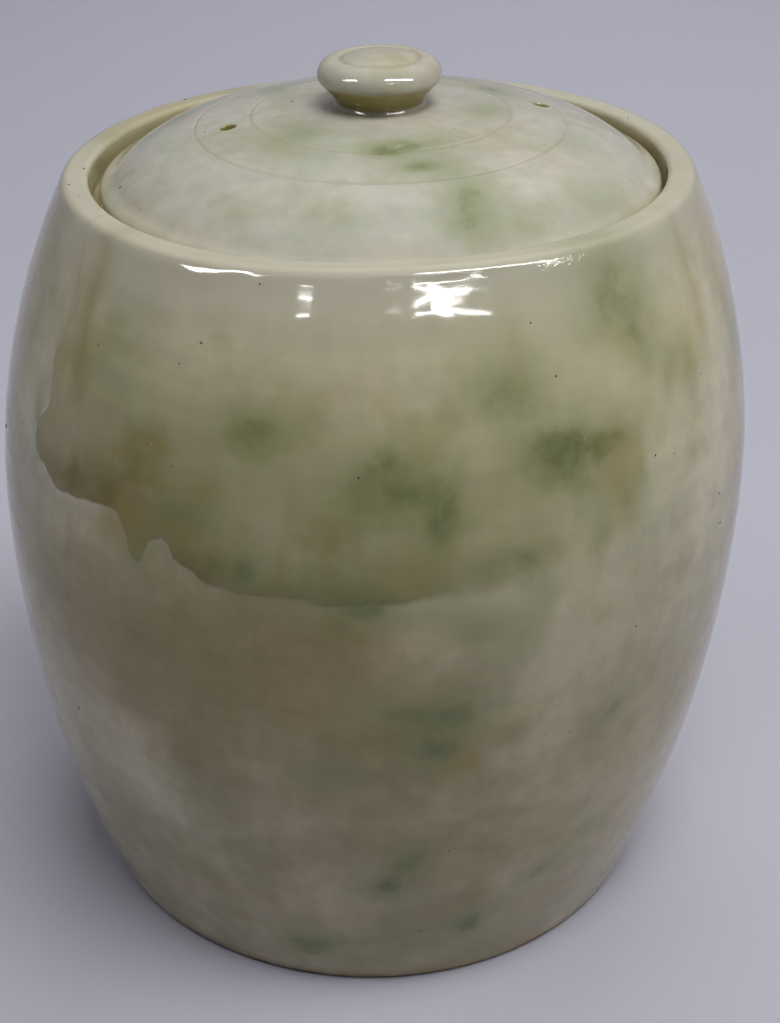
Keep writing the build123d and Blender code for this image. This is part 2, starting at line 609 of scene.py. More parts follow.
def grown(name: str, seed_mesh: Any, tree: Any, inputs: dict[str, Any]) -> Any:
    """Runs a Geometry Nodes tree on a mesh and keeps the result as a plain mesh.

    Args:
        name: name of the new object.
        seed_mesh: the mesh that goes into the tree.
        tree: the Geometry Nodes tree.
        inputs: the value of each of the tree's named inputs.

    Returns:
        A new object at the origin with the result as its mesh and no modifier.
    """
    source = bpy.data.objects.new(name + "_source", seed_mesh)
    bpy.context.scene.collection.objects.link(source)
    modifier = source.modifiers.new("nodes", "NODES")
    modifier.node_group = tree
    names = {i.name: i.identifier for i in tree.interface.items_tree if i.in_out == "INPUT"}
    for title, value in inputs.items():
        modifier[names[title]] = value
    graph = bpy.context.evaluated_depsgraph_get()
    mesh = bpy.data.meshes.new_from_object(
        source.evaluated_get(graph), preserve_all_data_layers=True, depsgraph=graph
    )
    bpy.data.objects.remove(source)
    mesh.name = name
    mesh.materials.clear()
    mesh.materials.append(inputs["Material"])
    mesh.polygons.foreach_set("material_index", np.zeros(len(mesh.polygons), np.int32))
    piece = bpy.data.objects.new(name, mesh)
    bpy.context.scene.collection.objects.link(piece)
    return piece


# ---- Marks in the glaze -------------------------------------------------------------------
class Tint(Enum):
    """The oxide that a mark was sponged on with, named as its attribute."""

    COPPER = "copper"
    IRON = "iron"


@dataclass(frozen=True)
class Dab:
    """One soft touch of a sponge loaded with an oxide."""

    bearing: float
    along: float
    wide: float
    tall: float
    strength: float
    tint: Tint = Tint.COPPER
    tilt: float = 0.0


@dataclass(frozen=True)
class Patch:
    """A soft oval area on the wall: its middle, and its reach in degrees and millimetres."""

    bearing: float
    height: float
    wide: float
    tall: float

    def at(self, bearing: np.ndarray, height: np.ndarray) -> np.ndarray:
        """1 in the middle of the patch, falling to 0 outside it."""
        off = np.hypot((bearing - self.bearing) / self.wide, (height - self.height) / self.tall)
        return np.exp(-(off**2))


@dataclass(frozen=True)
class Pour:
    """An area of second glaze, as bearing and height along its edge."""

    centre: float
    edge: tuple[tuple[float, float], ...]


COPPER, IRON = Tint.COPPER, Tint.IRON

# Along is the height above the table on the jar, and the distance from the axis on the lid.
WALL_DABS = (
    # The front, from the shoulder down to the foot.
    Dab(38, 250, 24, 22, 0.55),
    Dab(42, 240, 12, 14, 0.26),
    Dab(49, 229, 16, 7, 0.24, tilt=-20),
    Dab(16, 237, 22, 14, 0.22),
    Dab(19, 227, 20, 11, 0.60),
    Dab(26, 212, 24, 10, 0.76),
    Dab(33, 211, 12, 8, 0.45),
    Dab(24, 204, 16, 15, 0.50),
    Dab(29, 198, 9, 12, 0.35),
    Dab(34, 199, 8, 17, 0.62, IRON, 12),
    Dab(37, 204, 8, 9, 0.40, IRON),
    Dab(36, 191, 6, 12, 0.55, COPPER, 30),
    Dab(39, 196, 4, 8, 0.45, COPPER, 20),
    Dab(31, 184, 6, 14, 0.42),
    Dab(27, 190, 5, 8, 0.25),
    Dab(2, 211, 22, 13, 0.55),
    Dab(5, 203, 17, 10, 0.48),
    Dab(10, 199, 6, 16, 0.66),
    Dab(7, 188, 7, 12, 0.36),
    Dab(-3, 205, 9, 7, 0.30),
    Dab(-17, 219, 18, 12, 0.50),
    Dab(-13, 221, 22, 6, 0.30),
    Dab(-26, 193, 13, 13, 0.45),
    Dab(-17, 180, 13, 9, 0.86),
    Dab(-25, 188, 14, 6, 0.22, IRON),
    Dab(0, 177, 16, 11, 0.50),
    Dab(-1, 170, 15, 6, 0.70),
    Dab(-36, 184, 9, 12, 0.70, IRON, 15),
    Dab(-33, 178, 5, 10, 0.45),
    Dab(10, 176, 10, 7, 0.30),
    Dab(20, 181, 13, 10, 0.50),
    Dab(13, 190, 34, 20, 0.16),
    Dab(-8, 196, 30, 22, 0.16),
    Dab(-24, 208, 34, 20, 0.16),
    Dab(-42, 222, 20, 34, 0.20),
    Dab(-30, 211, 9, 2, 0.45, IRON),
    Dab(-11, 199, 2, 16, 0.40, IRON),
    Dab(4, 182, 12, 6, 0.24, IRON),
    Dab(-24, 201, 4, 3, 0.45, IRON),
    Dab(-37, 206, 7, 2, 0.50, IRON, -12),
    Dab(-6, 189, 2, 12, 0.34, IRON, 8),
    Dab(-17, 194, 2, 9, 0.30, IRON),
    Dab(22, 171, 10, 5, 0.34),
    Dab(9, 167, 22, 4, 0.40, COPPER, 6),
    Dab(20, 240, 5, 12, 0.22, IRON),
    Dab(58, 236, 5, 30, 0.40, IRON),
    Dab(52, 222, 8, 16, 0.28),
    Dab(42, 233, 4, 12, 0.30, COPPER, -18),
    Dab(46, 222, 4, 12, 0.26, COPPER, -22),
    Dab(27, 151, 18, 14, 0.20),
    Dab(14, 161, 9, 7, 0.50),
    Dab(21, 166, 8, 10, 0.22),
    Dab(18, 153, 10, 9, 0.30),
    Dab(11, 132, 17, 9, 0.72),
    Dab(5, 134, 18, 8, 0.60, COPPER, -25),
    Dab(9, 118, 12, 10, 0.84),
    Dab(13, 112, 7, 7, 0.80, IRON),
    Dab(36, 115, 16, 8, 0.60, COPPER, 30),
    Dab(-6, 109, 16, 12, 0.45),
    Dab(-27, 146, 24, 24, 0.16),
    Dab(38, 64, 8, 9, 0.40, COPPER, 30),
    Dab(30, 52, 17, 9, 0.62, COPPER, 35),
    Dab(6, 71, 11, 9, 0.72),
    Dab(3, 58, 13, 9, 0.88, COPPER, 15),
    Dab(17, 30, 12, 11, 0.97),
    Dab(-11, 20, 15, 8, 0.85),
    Dab(-3, 26, 34, 7, 0.45, COPPER, 15),
    # On the lip, at the back left.
    Dab(-128, 262, 46, 9, 0.40, IRON),
    Dab(-150, 262, 30, 8, 0.35),
    Dab(-108, 262, 22, 8, 0.30),
    # More on the front, most of them on its left.
    Dab(-46, 42, 12, 8, 0.25),
    Dab(-34, 53, 12, 9, 0.28),
    Dab(-57, 199, 6, 18, 0.60),
    Dab(-49, 236, 4, 30, 0.34),
    Dab(-54, 228, 3, 26, 0.26, IRON),
    Dab(-29, 190, 12, 9, 0.34),
    Dab(-22, 196, 8, 8, 0.22),
    Dab(15, 180, 9, 6, 0.34),
    Dab(-7, 178, 10, 7, 0.36),
    Dab(-50, 243, 9, 26, 0.40, IRON),
    # The sides and the back.
    Dab(74, 216, 18, 14, 0.50),
    Dab(82, 196, 10, 18, 0.40, IRON, 10),
    Dab(96, 232, 24, 12, 0.55),
    Dab(112, 205, 28, 15, 0.85),
    Dab(118, 192, 12, 12, 0.55, IRON),
    Dab(131, 226, 16, 10, 0.45),
    Dab(146, 186, 18, 10, 0.75),
    Dab(152, 214, 22, 16, 0.60),
    Dab(171, 236, 24, 12, 0.45),
    Dab(178, 190, 12, 16, 0.70),
    Dab(188, 178, 10, 9, 0.55, IRON),
    Dab(-161, 218, 26, 14, 0.80),
    Dab(-148, 199, 14, 16, 0.50),
    Dab(-132, 233, 18, 12, 0.40),
    Dab(-118, 207, 22, 13, 0.70),
    Dab(-110, 194, 9, 16, 0.55, IRON),
    Dab(-88, 222, 14, 12, 0.45),
    Dab(-78, 182, 14, 9, 0.50),
    Dab(92, 150, 12, 8, 0.65),
    Dab(106, 122, 15, 8, 0.55, COPPER, 20),
    Dab(138, 136, 10, 8, 0.80),
    Dab(142, 129, 7, 6, 0.60, IRON),
    Dab(167, 104, 16, 9, 0.50),
    Dab(-172, 143, 11, 7, 0.60),
    Dab(-151, 91, 12, 8, 0.75),
    Dab(-126, 138, 14, 9, 0.45, COPPER, -20),
    Dab(-98, 108, 11, 8, 0.65),
    Dab(-84, 66, 14, 7, 0.50),
    Dab(76, 78, 13, 8, 0.60),
    Dab(101, 44, 11, 8, 0.80),
    Dab(128, 66, 15, 7, 0.45, COPPER, 25),
    Dab(159, 35, 12, 7, 0.65),
    Dab(-160, 48, 10, 7, 0.55),
    Dab(-119, 36, 13, 7, 0.75),
)

LID_DABS = (
    Dab(10, 38, 17, 6, 0.85),
    Dab(-2, 39, 12, 5, 0.45),
    Dab(14, 51, 15, 9, 0.62),
    Dab(21, 71, 10, 12, 0.62),
    Dab(17, 79, 10, 6, 0.40),
    Dab(24, 60, 9, 9, 0.30),
    Dab(84, 32, 15, 10, 0.42),
    Dab(-46, 33, 12, 9, 0.42),
    Dab(-38, 46, 16, 9, 0.36),
    Dab(-8, 76, 12, 7, 0.26),
    Dab(-34, 78, 16, 7, 0.20),
    Dab(50, 81, 16, 8, 0.34),
    Dab(31, 80, 16, 7, 0.30),
    Dab(70, 66, 15, 10, 0.20),
    Dab(126, 45, 16, 10, 0.60),
    Dab(140, 68, 14, 12, 0.45),
    Dab(171, 56, 18, 10, 0.55),
    Dab(-152, 76, 15, 8, 0.40),
    Dab(-134, 48, 13, 9, 0.50),
    Dab(-106, 70, 15, 9, 0.35),
    Dab(-62, 86, 6, 3, 0.20, IRON),
    Dab(-57, 82, 4, 3, 0.20, IRON),
)

FRONT_POUR = Pour(
    centre=0,
    edge=(
        (-59, 268), (-56, 254), (-54, 245), (-51, 238), (-52, 232), (-56, 227), (-55, 217),
        (-54, 208), (-57, 203), (-58, 196), (-57, 192), (-53, 190), (-50, 185), (-47, 186),
        (-43, 188), (-40, 189), (-37, 189), (-36, 186), (-35, 183), (-34, 176), (-33, 174),
        (-32, 175), (-31, 183), (-29, 185), (-28, 182), (-27, 179), (-25, 177), (-23, 175),
        (-20, 173), (-16, 172), (-12, 173), (-9, 173), (-4, 171), (1, 171), (6, 172),
        (10, 174), (14, 173), (17, 173), (20, 175), (24, 178), (30, 176), (35, 178),
        (38, 181), (43, 185), (47, 184), (50, 190), (53, 192), (55, 200), (56, 208),
        (57, 218), (58, 228), (56, 240), (58, 268),
    ),
)
BACK_POUR = Pour(
    centre=180,
    edge=(
        (99, 268), (98, 250), (101, 238), (97, 224), (96, 212), (100, 202), (106, 197),
        (112, 187), (118, 179), (124, 177), (128, 171), (130, 160), (132, 158), (134, 168),
        (140, 172), (150, 167), (160, 168), (170, 174), (178, 172), (186, 176), (194, 182),
        (202, 180), (206, 167), (208, 165), (210, 178), (218, 184), (228, 186), (236, 190),
        (244, 188), (250, 196), (256, 204), (258, 216), (254, 228), (257, 244), (256, 268),
    ),
)


# ---- Finishes -------------------------------------------------------------------------------
@dataclass(frozen=True)
class Lumps:
    """A cloudy pattern in a glaze. Its size is that of one lump in millimetres.

    Stretch draws the lumps out along an axis, and swing is how far they lighten and darken
    the glaze.
    """

    size: float
    stretch: tuple[float, float, float] = (1.0, 1.0, 1.0)
    detail: float = 2.0
    roughness: float = 0.5
    swing: float = 0.0

    def laid(self, tree: Any, where: Any) -> Any:
        """Adds the pattern to a material.

        Args:
            tree: the material's tree.
            where: its texture coordinates.

        Returns:
            The node that gives the pattern, from 0 to 1.
        """
        scale = tuple(1.0 / (MM * self.size * s) for s in self.stretch)
        spot = add_node(tree, "ShaderNodeMapping", {"Vector": (where, "Object"), "Scale": scale})
        return add_node(
            tree,
            "ShaderNodeTexNoise",
            {"Vector": spot, "Scale": 1.0, "Detail": self.detail, "Roughness": self.roughness},
        )


@dataclass(frozen=True)
class StonewareGlaze:
    """Glossy feldspar glaze over buff stoneware, dipped twice and sponged with oxides.

    The glaze is a clear grey-cream glass a third of a millimetre thick. It gives the eye a
    wet gloss, soft clouds where the dip was thicker, an olive cast where it pooled or was
    dipped twice, and warm clay where it ran thin or was wiped off. The mark for thin glaze
    also holds painted shade.
    """

    name: str
    warm: str
    cool: str
    thin_coat: str = "#FEFEF8"
    thick_coat: str = "#C6BC9E"
    coat_edge: str = "#E4E0CC"
    olive_cloud: str = "#E3E2C6"
    # This tint also colours the painted shade held in the thin mark.
    thin_dip_and_shade_tint: str = "#C3B693"
    crest: str = "#B8B3A1"
    copper: str = "#7E8758"
    copper_deep: str = "#62673F"
    iron: str = "#94803F"
    pool: str = "#8D824A"
    clay: str = "#B39C78"
    clay_dark: str = "#93785A"
    gloss_roughness: float = 0.05
    thick_roughness: float = 0.09
    clay_roughness: float = 0.78
    ior: float = 1.5
    peel_depth: float = 0.012
    coat_step: float = 0.12
    clay_grain_depth: float = 0.035
    clouds: Lumps = Lumps(42.0, detail=3.0, roughness=0.55)
    mottle: Lumps = Lumps(7.0, detail=4.0, roughness=0.6, swing=0.05)
    grain: Lumps = Lumps(0.9)
    banding: Lumps = Lumps(8.0, (9.0, 9.0, 1.0), 3.0, 0.6, swing=0.035)
    runs: Lumps = Lumps(5.0, (1.0, 1.0, 9.0), 3.0, 0.6, swing=0.03)
    olive_spots: Lumps = Lumps(24.0, detail=3.0)
    peel: Lumps = Lumps(5.0, detail=1.5)

    def material(self) -> Any:
        """Builds the glaze as a material.

        Returns:
            The material. It reads the attributes that GlazeLayers.MARKS names.
        """
        return GlazeLayers(self).finished()


class GlazeLayers:
    """The tree of a stoneware glaze while it is built up, from the first dip outwards."""

    MARKS = ("coat", "thickness", "thin", "crest", "copper", "iron", "pool", "bare")

    def __init__(self, recipe: StonewareGlaze) -> None:
        """Lays out the patterns and painted marks that the layers share.

        Args:
            recipe: the glaze's colours, patterns and finish.
        """
        self.recipe = recipe
        self.made, self.tree = new_material(recipe.name)
        where = add_node(self.tree, "ShaderNodeTexCoord")
        self.clouds = recipe.clouds.laid(self.tree, where)
        self.mottle = recipe.mottle.laid(self.tree, where)
        self.grain = recipe.grain.laid(self.tree, where)
        self.banding = recipe.banding.laid(self.tree, where)
        self.runs = recipe.runs.laid(self.tree, where)
        self.olive_spots = recipe.olive_spots.laid(self.tree, where)
        self.peel = recipe.peel.laid(self.tree, where)
        self.marks = {
            name: (add_node(self.tree, "ShaderNodeAttribute", attribute_name=name), "Fac")
            for name in self.MARKS
        }
        self.coat, self.bare = self.uneven_edges()

    def uneven_edges(self) -> tuple[Any, Any]:
        """Lets the second coat's edge and the wiped foot wander by about a millimetre.

        Returns:
            Millimetres inside the second coat, and the share of bare clay.
        """
        tree, parts = self.tree, []
        for pattern, reach in ((self.mottle, 1.4), (self.grain, 0.6)):
            off = add_node(tree, MATHS, [pattern, 0.5], operation="SUBTRACT")
            parts.append(add_node(tree, MATHS, [off, reach], operation="MULTIPLY"))
        rough = add_node(tree, MATHS, parts, operation="ADD")
        coat = add_node(tree, MATHS, [self.marks["coat"], rough], operation="ADD")
        wiped = add_node(tree, MATHS, [rough, 0.8], operation="MULTIPLY")
        wiped = add_node(tree, MATHS, [self.marks["bare"], wiped], operation="ADD")
        return coat, add_node(tree, RAMP, [wiped, -0.25, 0.25], **SMOOTH)

    def first_dip(self) -> Any:
        """Clouds of warmer and cooler cream, banded by the finger rings.

        Returns:
            The colour of one full coat.
        """
        tree, recipe = self.tree, self.recipe
        warmth = add_node(tree, RAMP, [self.clouds, 0.35, 0.65], **SMOOTH)
        colour = add_node(tree, MIX, [warmth, linear(recipe.warm), linear(recipe.cool)], **BLEND)
        shade = 0.0
        for pattern, swing in (
            (self.banding, recipe.banding.swing),
            (self.mottle, recipe.mottle.swing),
            (self.runs, recipe.runs.swing),
        ):
            change = add_node(tree, RAMP, [pattern, 0.3, 0.7, -swing, swing], **SMOOTH)
            shade = add_node(tree, MATHS, [shade, change], operation="ADD")
        shade = add_node(tree, MATHS, [shade, 1.0], operation="ADD")
        colour = add_node(tree, MIX, [1.0, colour, shade], **TINT)
        olive = add_node(tree, MIX, [1.0, colour, linear(recipe.olive_cloud)], **TINT)
        faint = add_node(tree, RAMP, [self.olive_spots, 0.5, 0.66], **SMOOTH)
        faint = add_node(tree, MATHS, [faint, 0.4], operation="MULTIPLY")
        return add_node(tree, MIX, [faint, colour, olive], **BLEND)

    def thinned_and_shaded(self, colour: Any) -> Any:
        """Lets the darker clay show through where the first dip is thin, and darkens the painted
        shade.

        Args:
            colour: the colour of one full coat.

        Returns:
            The colour where the jar was dipped once.
        """
        tree = self.tree
        change = add_node(tree, RAMP, [self.clouds, 0.3, 0.7, -0.13, 0.13], **SMOOTH)
        thin = add_node(tree, MATHS, [self.marks["thin"], change], operation="ADD")
        thin = add_node(tree, RAMP, [thin, 0.0, 1.0], **SMOOTH)
        # The same darker tint paints the shade that the mark holds.
        darker = add_node(tree, MIX, [1.0, colour, linear(self.recipe.thin_dip_and_shade_tint)], **TINT)
        return add_node(tree, MIX, [thin, colour, darker], **BLEND)

    def second_coat(self, colour: Any) -> Any:
        """Stains the glaze where it was dipped twice, more along the runs and near the edge.

        Args:
            colour: the colour of one full coat.

        Returns:
            The colour where the jar was dipped twice.
        """
        tree, recipe, thickness = self.tree, self.recipe, self.marks["thickness"]
        runs = add_node(tree, RAMP, [self.runs, 0.3, 0.72, 0.84, 1.08], **SMOOTH)
        thick = add_node(
            tree, MATHS, [thickness, runs], operation="MULTIPLY", use_clamp=True
        )
        stain = add_node(
            tree, MIX, [thick, linear(recipe.thin_coat), linear(recipe.thick_coat)], **BLEND
        )
        spots = add_node(tree, RAMP, [self.olive_spots, 0.46, 0.66], **SMOOTH)
        olive = add_node(tree, MATHS, [spots, thick], operation="MULTIPLY")
        near_edge = add_node(tree, RAMP, [self.coat, 20.0, 2.0], **SMOOTH)
        bead = add_node(
            tree, MATHS, [near_edge, thickness], operation="MULTIPLY", use_clamp=True
        )
        for share, tint in ((olive, recipe.olive_cloud), (bead, recipe.coat_edge)):
            tinted = add_node(tree, MIX, [1.0, stain, linear(tint)], **TINT)
            stain = add_node(tree, MIX, [share, stain, tinted], **BLEND)
        return add_node(tree, MIX, [1.0, colour, stain], **TINT)

    def oxides(self, colour: Any) -> Any:
        """Bleeds the sponged oxides into the glaze, and lets it pool.

        Copper makes soft grey-green clouds with deeper cores, and iron makes rusty ones.

        Args:
            colour: the glaze's colour.

        Returns:
            The colour with the marks in it.
        """
        tree, recipe = self.tree, self.recipe
        broken = add_node(tree, RAMP, [self.mottle, 0.25, 0.75, 0.84, 1.12], **SMOOTH)
        copper, iron, pool = (
            add_node(
                tree, MATHS, [self.marks[name], broken], operation="MULTIPLY", use_clamp=True
            )
            for name in ("copper", "iron", "pool")
        )
        cloud = add_node(tree, MATHS, [copper, 0.85], operation="MULTIPLY")
        core = add_node(tree, RAMP, [copper, 0.55, 1.05, 0.0, 0.75], **SMOOTH)
        rust = add_node(tree, MATHS, [iron, 0.7], operation="MULTIPLY")
        for share, tint in (
            (cloud, recipe.copper), (core, recipe.copper_deep), (rust, recipe.iron),
            (pool, recipe.pool),
        ):
            colour = add_node(tree, MIX, [share, colour, linear(tint)], **BLEND)
        return colour

    def relief(self) -> Any:
        """Orange peel in the glaze, the second coat's step, and grog in bare clay.

        Returns:
            The normal, from heights in millimetres.
        """
        tree, recipe = self.tree, self.recipe
        height = add_node(tree, MATHS, [self.peel, recipe.peel_depth], operation="MULTIPLY")
        step = add_node(tree, RAMP, [self.coat, -0.6, 0.8], **SMOOTH)
        grog = add_node(tree, MATHS, [self.grain, self.bare], operation="MULTIPLY")
        for part, depth in ((step, recipe.coat_step), (grog, recipe.clay_grain_depth)):
            part = add_node(tree, MATHS, [part, depth], operation="MULTIPLY")
            height = add_node(tree, MATHS, [height, part], operation="ADD")
        return add_node(
            tree, "ShaderNodeBump", {"Height": height, "Strength": 1.0, "Distance": MM}
        )

    def finished(self) -> Any:
        """Puts the layers together.

        Returns:
            The material.
        """
        tree, recipe = self.tree, self.recipe
        dipped = self.first_dip()
        coated = add_node(tree, RAMP, [self.coat, -0.5, 0.7], **SMOOTH)
        colour = add_node(
            tree, MIX, [coated, self.thinned_and_shaded(dipped), self.second_coat(dipped)], **BLEND
        )
        colour = add_node(tree, MIX, [self.marks["crest"], colour, linear(recipe.crest)], **BLEND)
        colour = self.oxides(colour)
        patches = add_node(tree, RAMP, [self.mottle, 0.3, 0.7], **SMOOTH)
        clay = add_node(
            tree, MIX, [patches, linear(recipe.clay), linear(recipe.clay_dark)], **BLEND
        )
        colour = add_node(tree, MIX, [self.bare, colour, clay], **BLEND)
        gloss = add_node(
            tree,
            RAMP,
            [self.mottle, 0.3, 0.7, recipe.gloss_roughness, recipe.thick_roughness],
            **SMOOTH,
        )
        roughness = add_node(
            tree, MIX, [self.bare, gloss, recipe.clay_roughness], data_type="FLOAT"
        )
        surface = add_node(
            tree,
            "ShaderNodeBsdfPrincipled",
            {
                "Base Color": colour,
                "Roughness": roughness,
                "IOR": recipe.ior,
                "Normal": self.relief(),
            },
        )
        add_node(tree, "ShaderNodeOutputMaterial", {"Surface": surface})
        return self.made


@dataclass(frozen=True)
class MeltedIron:
    """Iron specks from the clay that melted into the glaze: small dark glassy beads."""

    name: str = "iron_speck_glaze"
    dark: str = "#3A2E20"
    rust: str = "#6E5738"
    patch_size: float = 11.0
    roughness: float = 0.22
    ior: float = 1.6

    def material(self) -> Any:
        """Builds the material.

        Returns:
            The material, dark brown to rust from speck to speck.
        """
        made, tree = new_material(self.name)
        where = add_node(tree, "ShaderNodeTexCoord")
        patches = add_node(
            tree,
            "ShaderNodeTexNoise",
            {"Vector": (where, "Object"), "Scale": 1.0 / (MM * self.patch_size)},
        )
        share = add_node(tree, RAMP, [patches, 0.4, 0.62])
        colour = add_node(tree, MIX, [share, linear(self.dark), linear(self.rust)], **BLEND)
        surface = add_node(
            tree,
            "ShaderNodeBsdfPrincipled",
            {
                "Base Color": colour,
                "Roughness": self.roughness,
                "IOR": self.ior,
            },
        )
        add_node(tree, "ShaderNodeOutputMaterial", {"Surface": surface})
        return made


@dataclass(frozen=True)
class PaperSweep:
    """A matt roll of pale blue-grey background paper."""

    name: str = "background_paper"
    colour: str = "#B8B8C4"
    roughness: float = 0.9

    def material(self) -> Any:
        """Builds the material.

        Returns:
            The material, matt and without any gloss.
        """
        made, tree = new_material(self.name)
        surface = add_node(
            tree,
            "ShaderNodeBsdfPrincipled",
            {
                "Base Color": linear(self.colour),
                "Roughness": self.roughness,
                "Specular IOR Level": 0.0,
            },
        )
        add_node(tree, "ShaderNodeOutputMaterial", {"Surface": surface})
        return made


# ---- Skins: a mesh's points while it is shaped and painted -----------------------------------
class Skin:
    """The points of one turned mesh, in millimetres, with what its half section says of them."""

    BLEED = 1.5
    LOAD = 1.5

    def __init__(self, mesh: Any, zones: np.ndarray) -> None:
        """Reads a mesh.

        Args:
            mesh: a mesh with the attribute "row".
            zones: the zone of each row.
        """
        row = np.empty(len(mesh.vertices), int)
        mesh.attributes["row"].data.foreach_get("value", row)
        self.mesh = mesh
        self.place, self.facing = points_of(mesh)
        self.zone = zones[np.clip(row, 0, len(zones) - 1)]
        self.bearing = np.degrees(np.arctan2(self.place[:, 0], -self.place[:, 1]))
        self.radius = np.hypot(self.place[:, 0], self.place[:, 1])
        self.height = self.place[:, 2].copy()

    def in_zones(self, *zones: Zone) -> np.ndarray:
        """True for the points that lie in any of these zones."""
        return np.isin(self.zone, zones)

    def push(self, amount: np.ndarray) -> None:
        """Moves each point outwards by an amount in millimetres."""
        self.place += self.facing * amount[:, None]

    def paint(self, name: str, values: np.ndarray) -> None:
        """Writes one number a point as an attribute of the mesh."""
        painted = self.mesh.attributes.new(name, "FLOAT", "POINT")
        painted.data.foreach_set("value", values.astype(np.float32))

    def dip_once(self) -> None:
        """Writes the second coat's attributes for a piece that never got one."""
        self.paint("coat", np.full(len(self.place), -20.0))
        for name in ("thickness", "thin", "crest"):
            self.paint(name, np.zeros(len(self.place)))

    def dabbed(self, dabs: Sequence[Dab], along: np.ndarray, across: np.ndarray) -> dict:
        """Adds up sponge dabs.

        Args:
            dabs: the dabs.
            along: each point's height or distance from the axis, in millimetres.
            across: millimetres along the surface for each radian of bearing.

        Returns:
            For each tint, its strength at each point, from 0 to 1.
        """
        warp = ClayNoise(11)
        side = warp.at(self.place, 15.0, 2) * 5.0
        rise = warp.at(self.place + 60.0, 15.0, 2) * 4.0
        left = {tint: np.ones(len(along)) for tint in Tint}
        for dab in dabs:
            x = np.radians(signed_turn(self.bearing, dab.bearing)) * across + side
            y = along - dab.along + rise
            lean = math.radians(dab.tilt)
            u = (x * math.cos(lean) + y * math.sin(lean)) / (dab.wide * self.BLEED / 2)
            v = (y * math.cos(lean) - x * math.sin(lean)) / (dab.tall * self.BLEED / 2)
            held = 1.0 - (1.0 - dab.strength) ** self.LOAD
            left[dab.tint] *= 1.0 - held * np.exp(-(u * u + v * v) * 0.8)
        return {tint: 1.0 - rest for tint, rest in left.items()}

    def depth_in(self, pour: Pour, mm_a_radian: float) -> np.ndarray:
        """Distance inside the edge of an area of second glaze.

        Args:
            pour: the area.
            mm_a_radian: millimetres along the wall for each radian of bearing.

        Returns:
            Millimetres from the edge, positive inside.
        """
        edge = np.array(pour.edge, float)
        edge[:, 0] = np.radians(edge[:, 0] - pour.centre) * mm_a_radian
        for _ in range(2):
            onward = np.roll(edge, -1, axis=0)
            cut = np.stack([edge * 0.75 + onward * 0.25, edge * 0.25 + onward * 0.75], axis=1)
            edge = cut.reshape(-1, 2)
        x = np.radians(signed_turn(self.bearing, pour.centre)) * mm_a_radian
        spot = np.stack([x, self.height], axis=1)
        nearest, inside = np.full(len(spot), 1e9), np.zeros(len(spot), bool)
        for start, end in zip(edge, np.roll(edge, -1, axis=0)):
            run = end - start
            share = np.clip(((spot - start) @ run) / (run @ run), 0.0, 1.0)
            nearest = np.minimum(nearest, np.hypot(*(spot - start - share[:, None] * run).T))
            crossing = (start[1] > spot[:, 1]) != (end[1] > spot[:, 1])
            rise = run[1] if abs(run[1]) > 1e-9 else 1e-9
            inside ^= crossing & (spot[:, 0] < start[0] + run[0] * (spot[:, 1] - start[1]) / rise)
        return np.where(inside, nearest, -nearest)

    def settle(self, lean: Lean, shift: float = 0.0) -> None:
        """Writes the points back to the mesh.

        Args:
            lean: the slant that they take on.
            shift: millimetres that they are moved towards +X first.
        """
        self.place[:, 0] += shift
        leaned = lean.applied(self.place) * MM
        self.mesh.vertices.foreach_set("co", leaned.astype(np.float32).ravel())
        self.mesh.update()


@dataclass(frozen=True)
class Lean:
    """The slant that the rim took on while the clay was soft. It grows from foot to rim."""

    slope: float = 0.029
    full_height: float = 260.0
    back: float = 1.6
    back_from: float = 150.0
    swell: float = 1.8
    swell_bearing: float = 10.0
    swell_width: float = 34.0

    def applied(self, place: np.ndarray) -> np.ndarray:
        """Leans points.

        Args:
            place: positions in millimetres, one a row.

        Returns:
            The leaned positions.
        """
        leaned = place.copy()
        share = smoothstep(place[:, 2], 0.0, self.full_height)
        leaned[:, 2] += place[:, 0] * self.slope * share
        bearing = np.degrees(np.arctan2(place[:, 0], -place[:, 1]))
        away = signed_turn(bearing, self.swell_bearing) / self.swell_width
        leaned[:, 2] += self.swell * np.exp(-(away**2)) * share * (np.hypot(*place[:, :2].T) > 60.0)
        leaned[:, 0] -= np.maximum(place[:, 2] - self.full_height, 0.0) * self.slope
        leaned[:, 1] += self.back * smoothstep(place[:, 2], self.back_from, self.full_height)
        return leaned


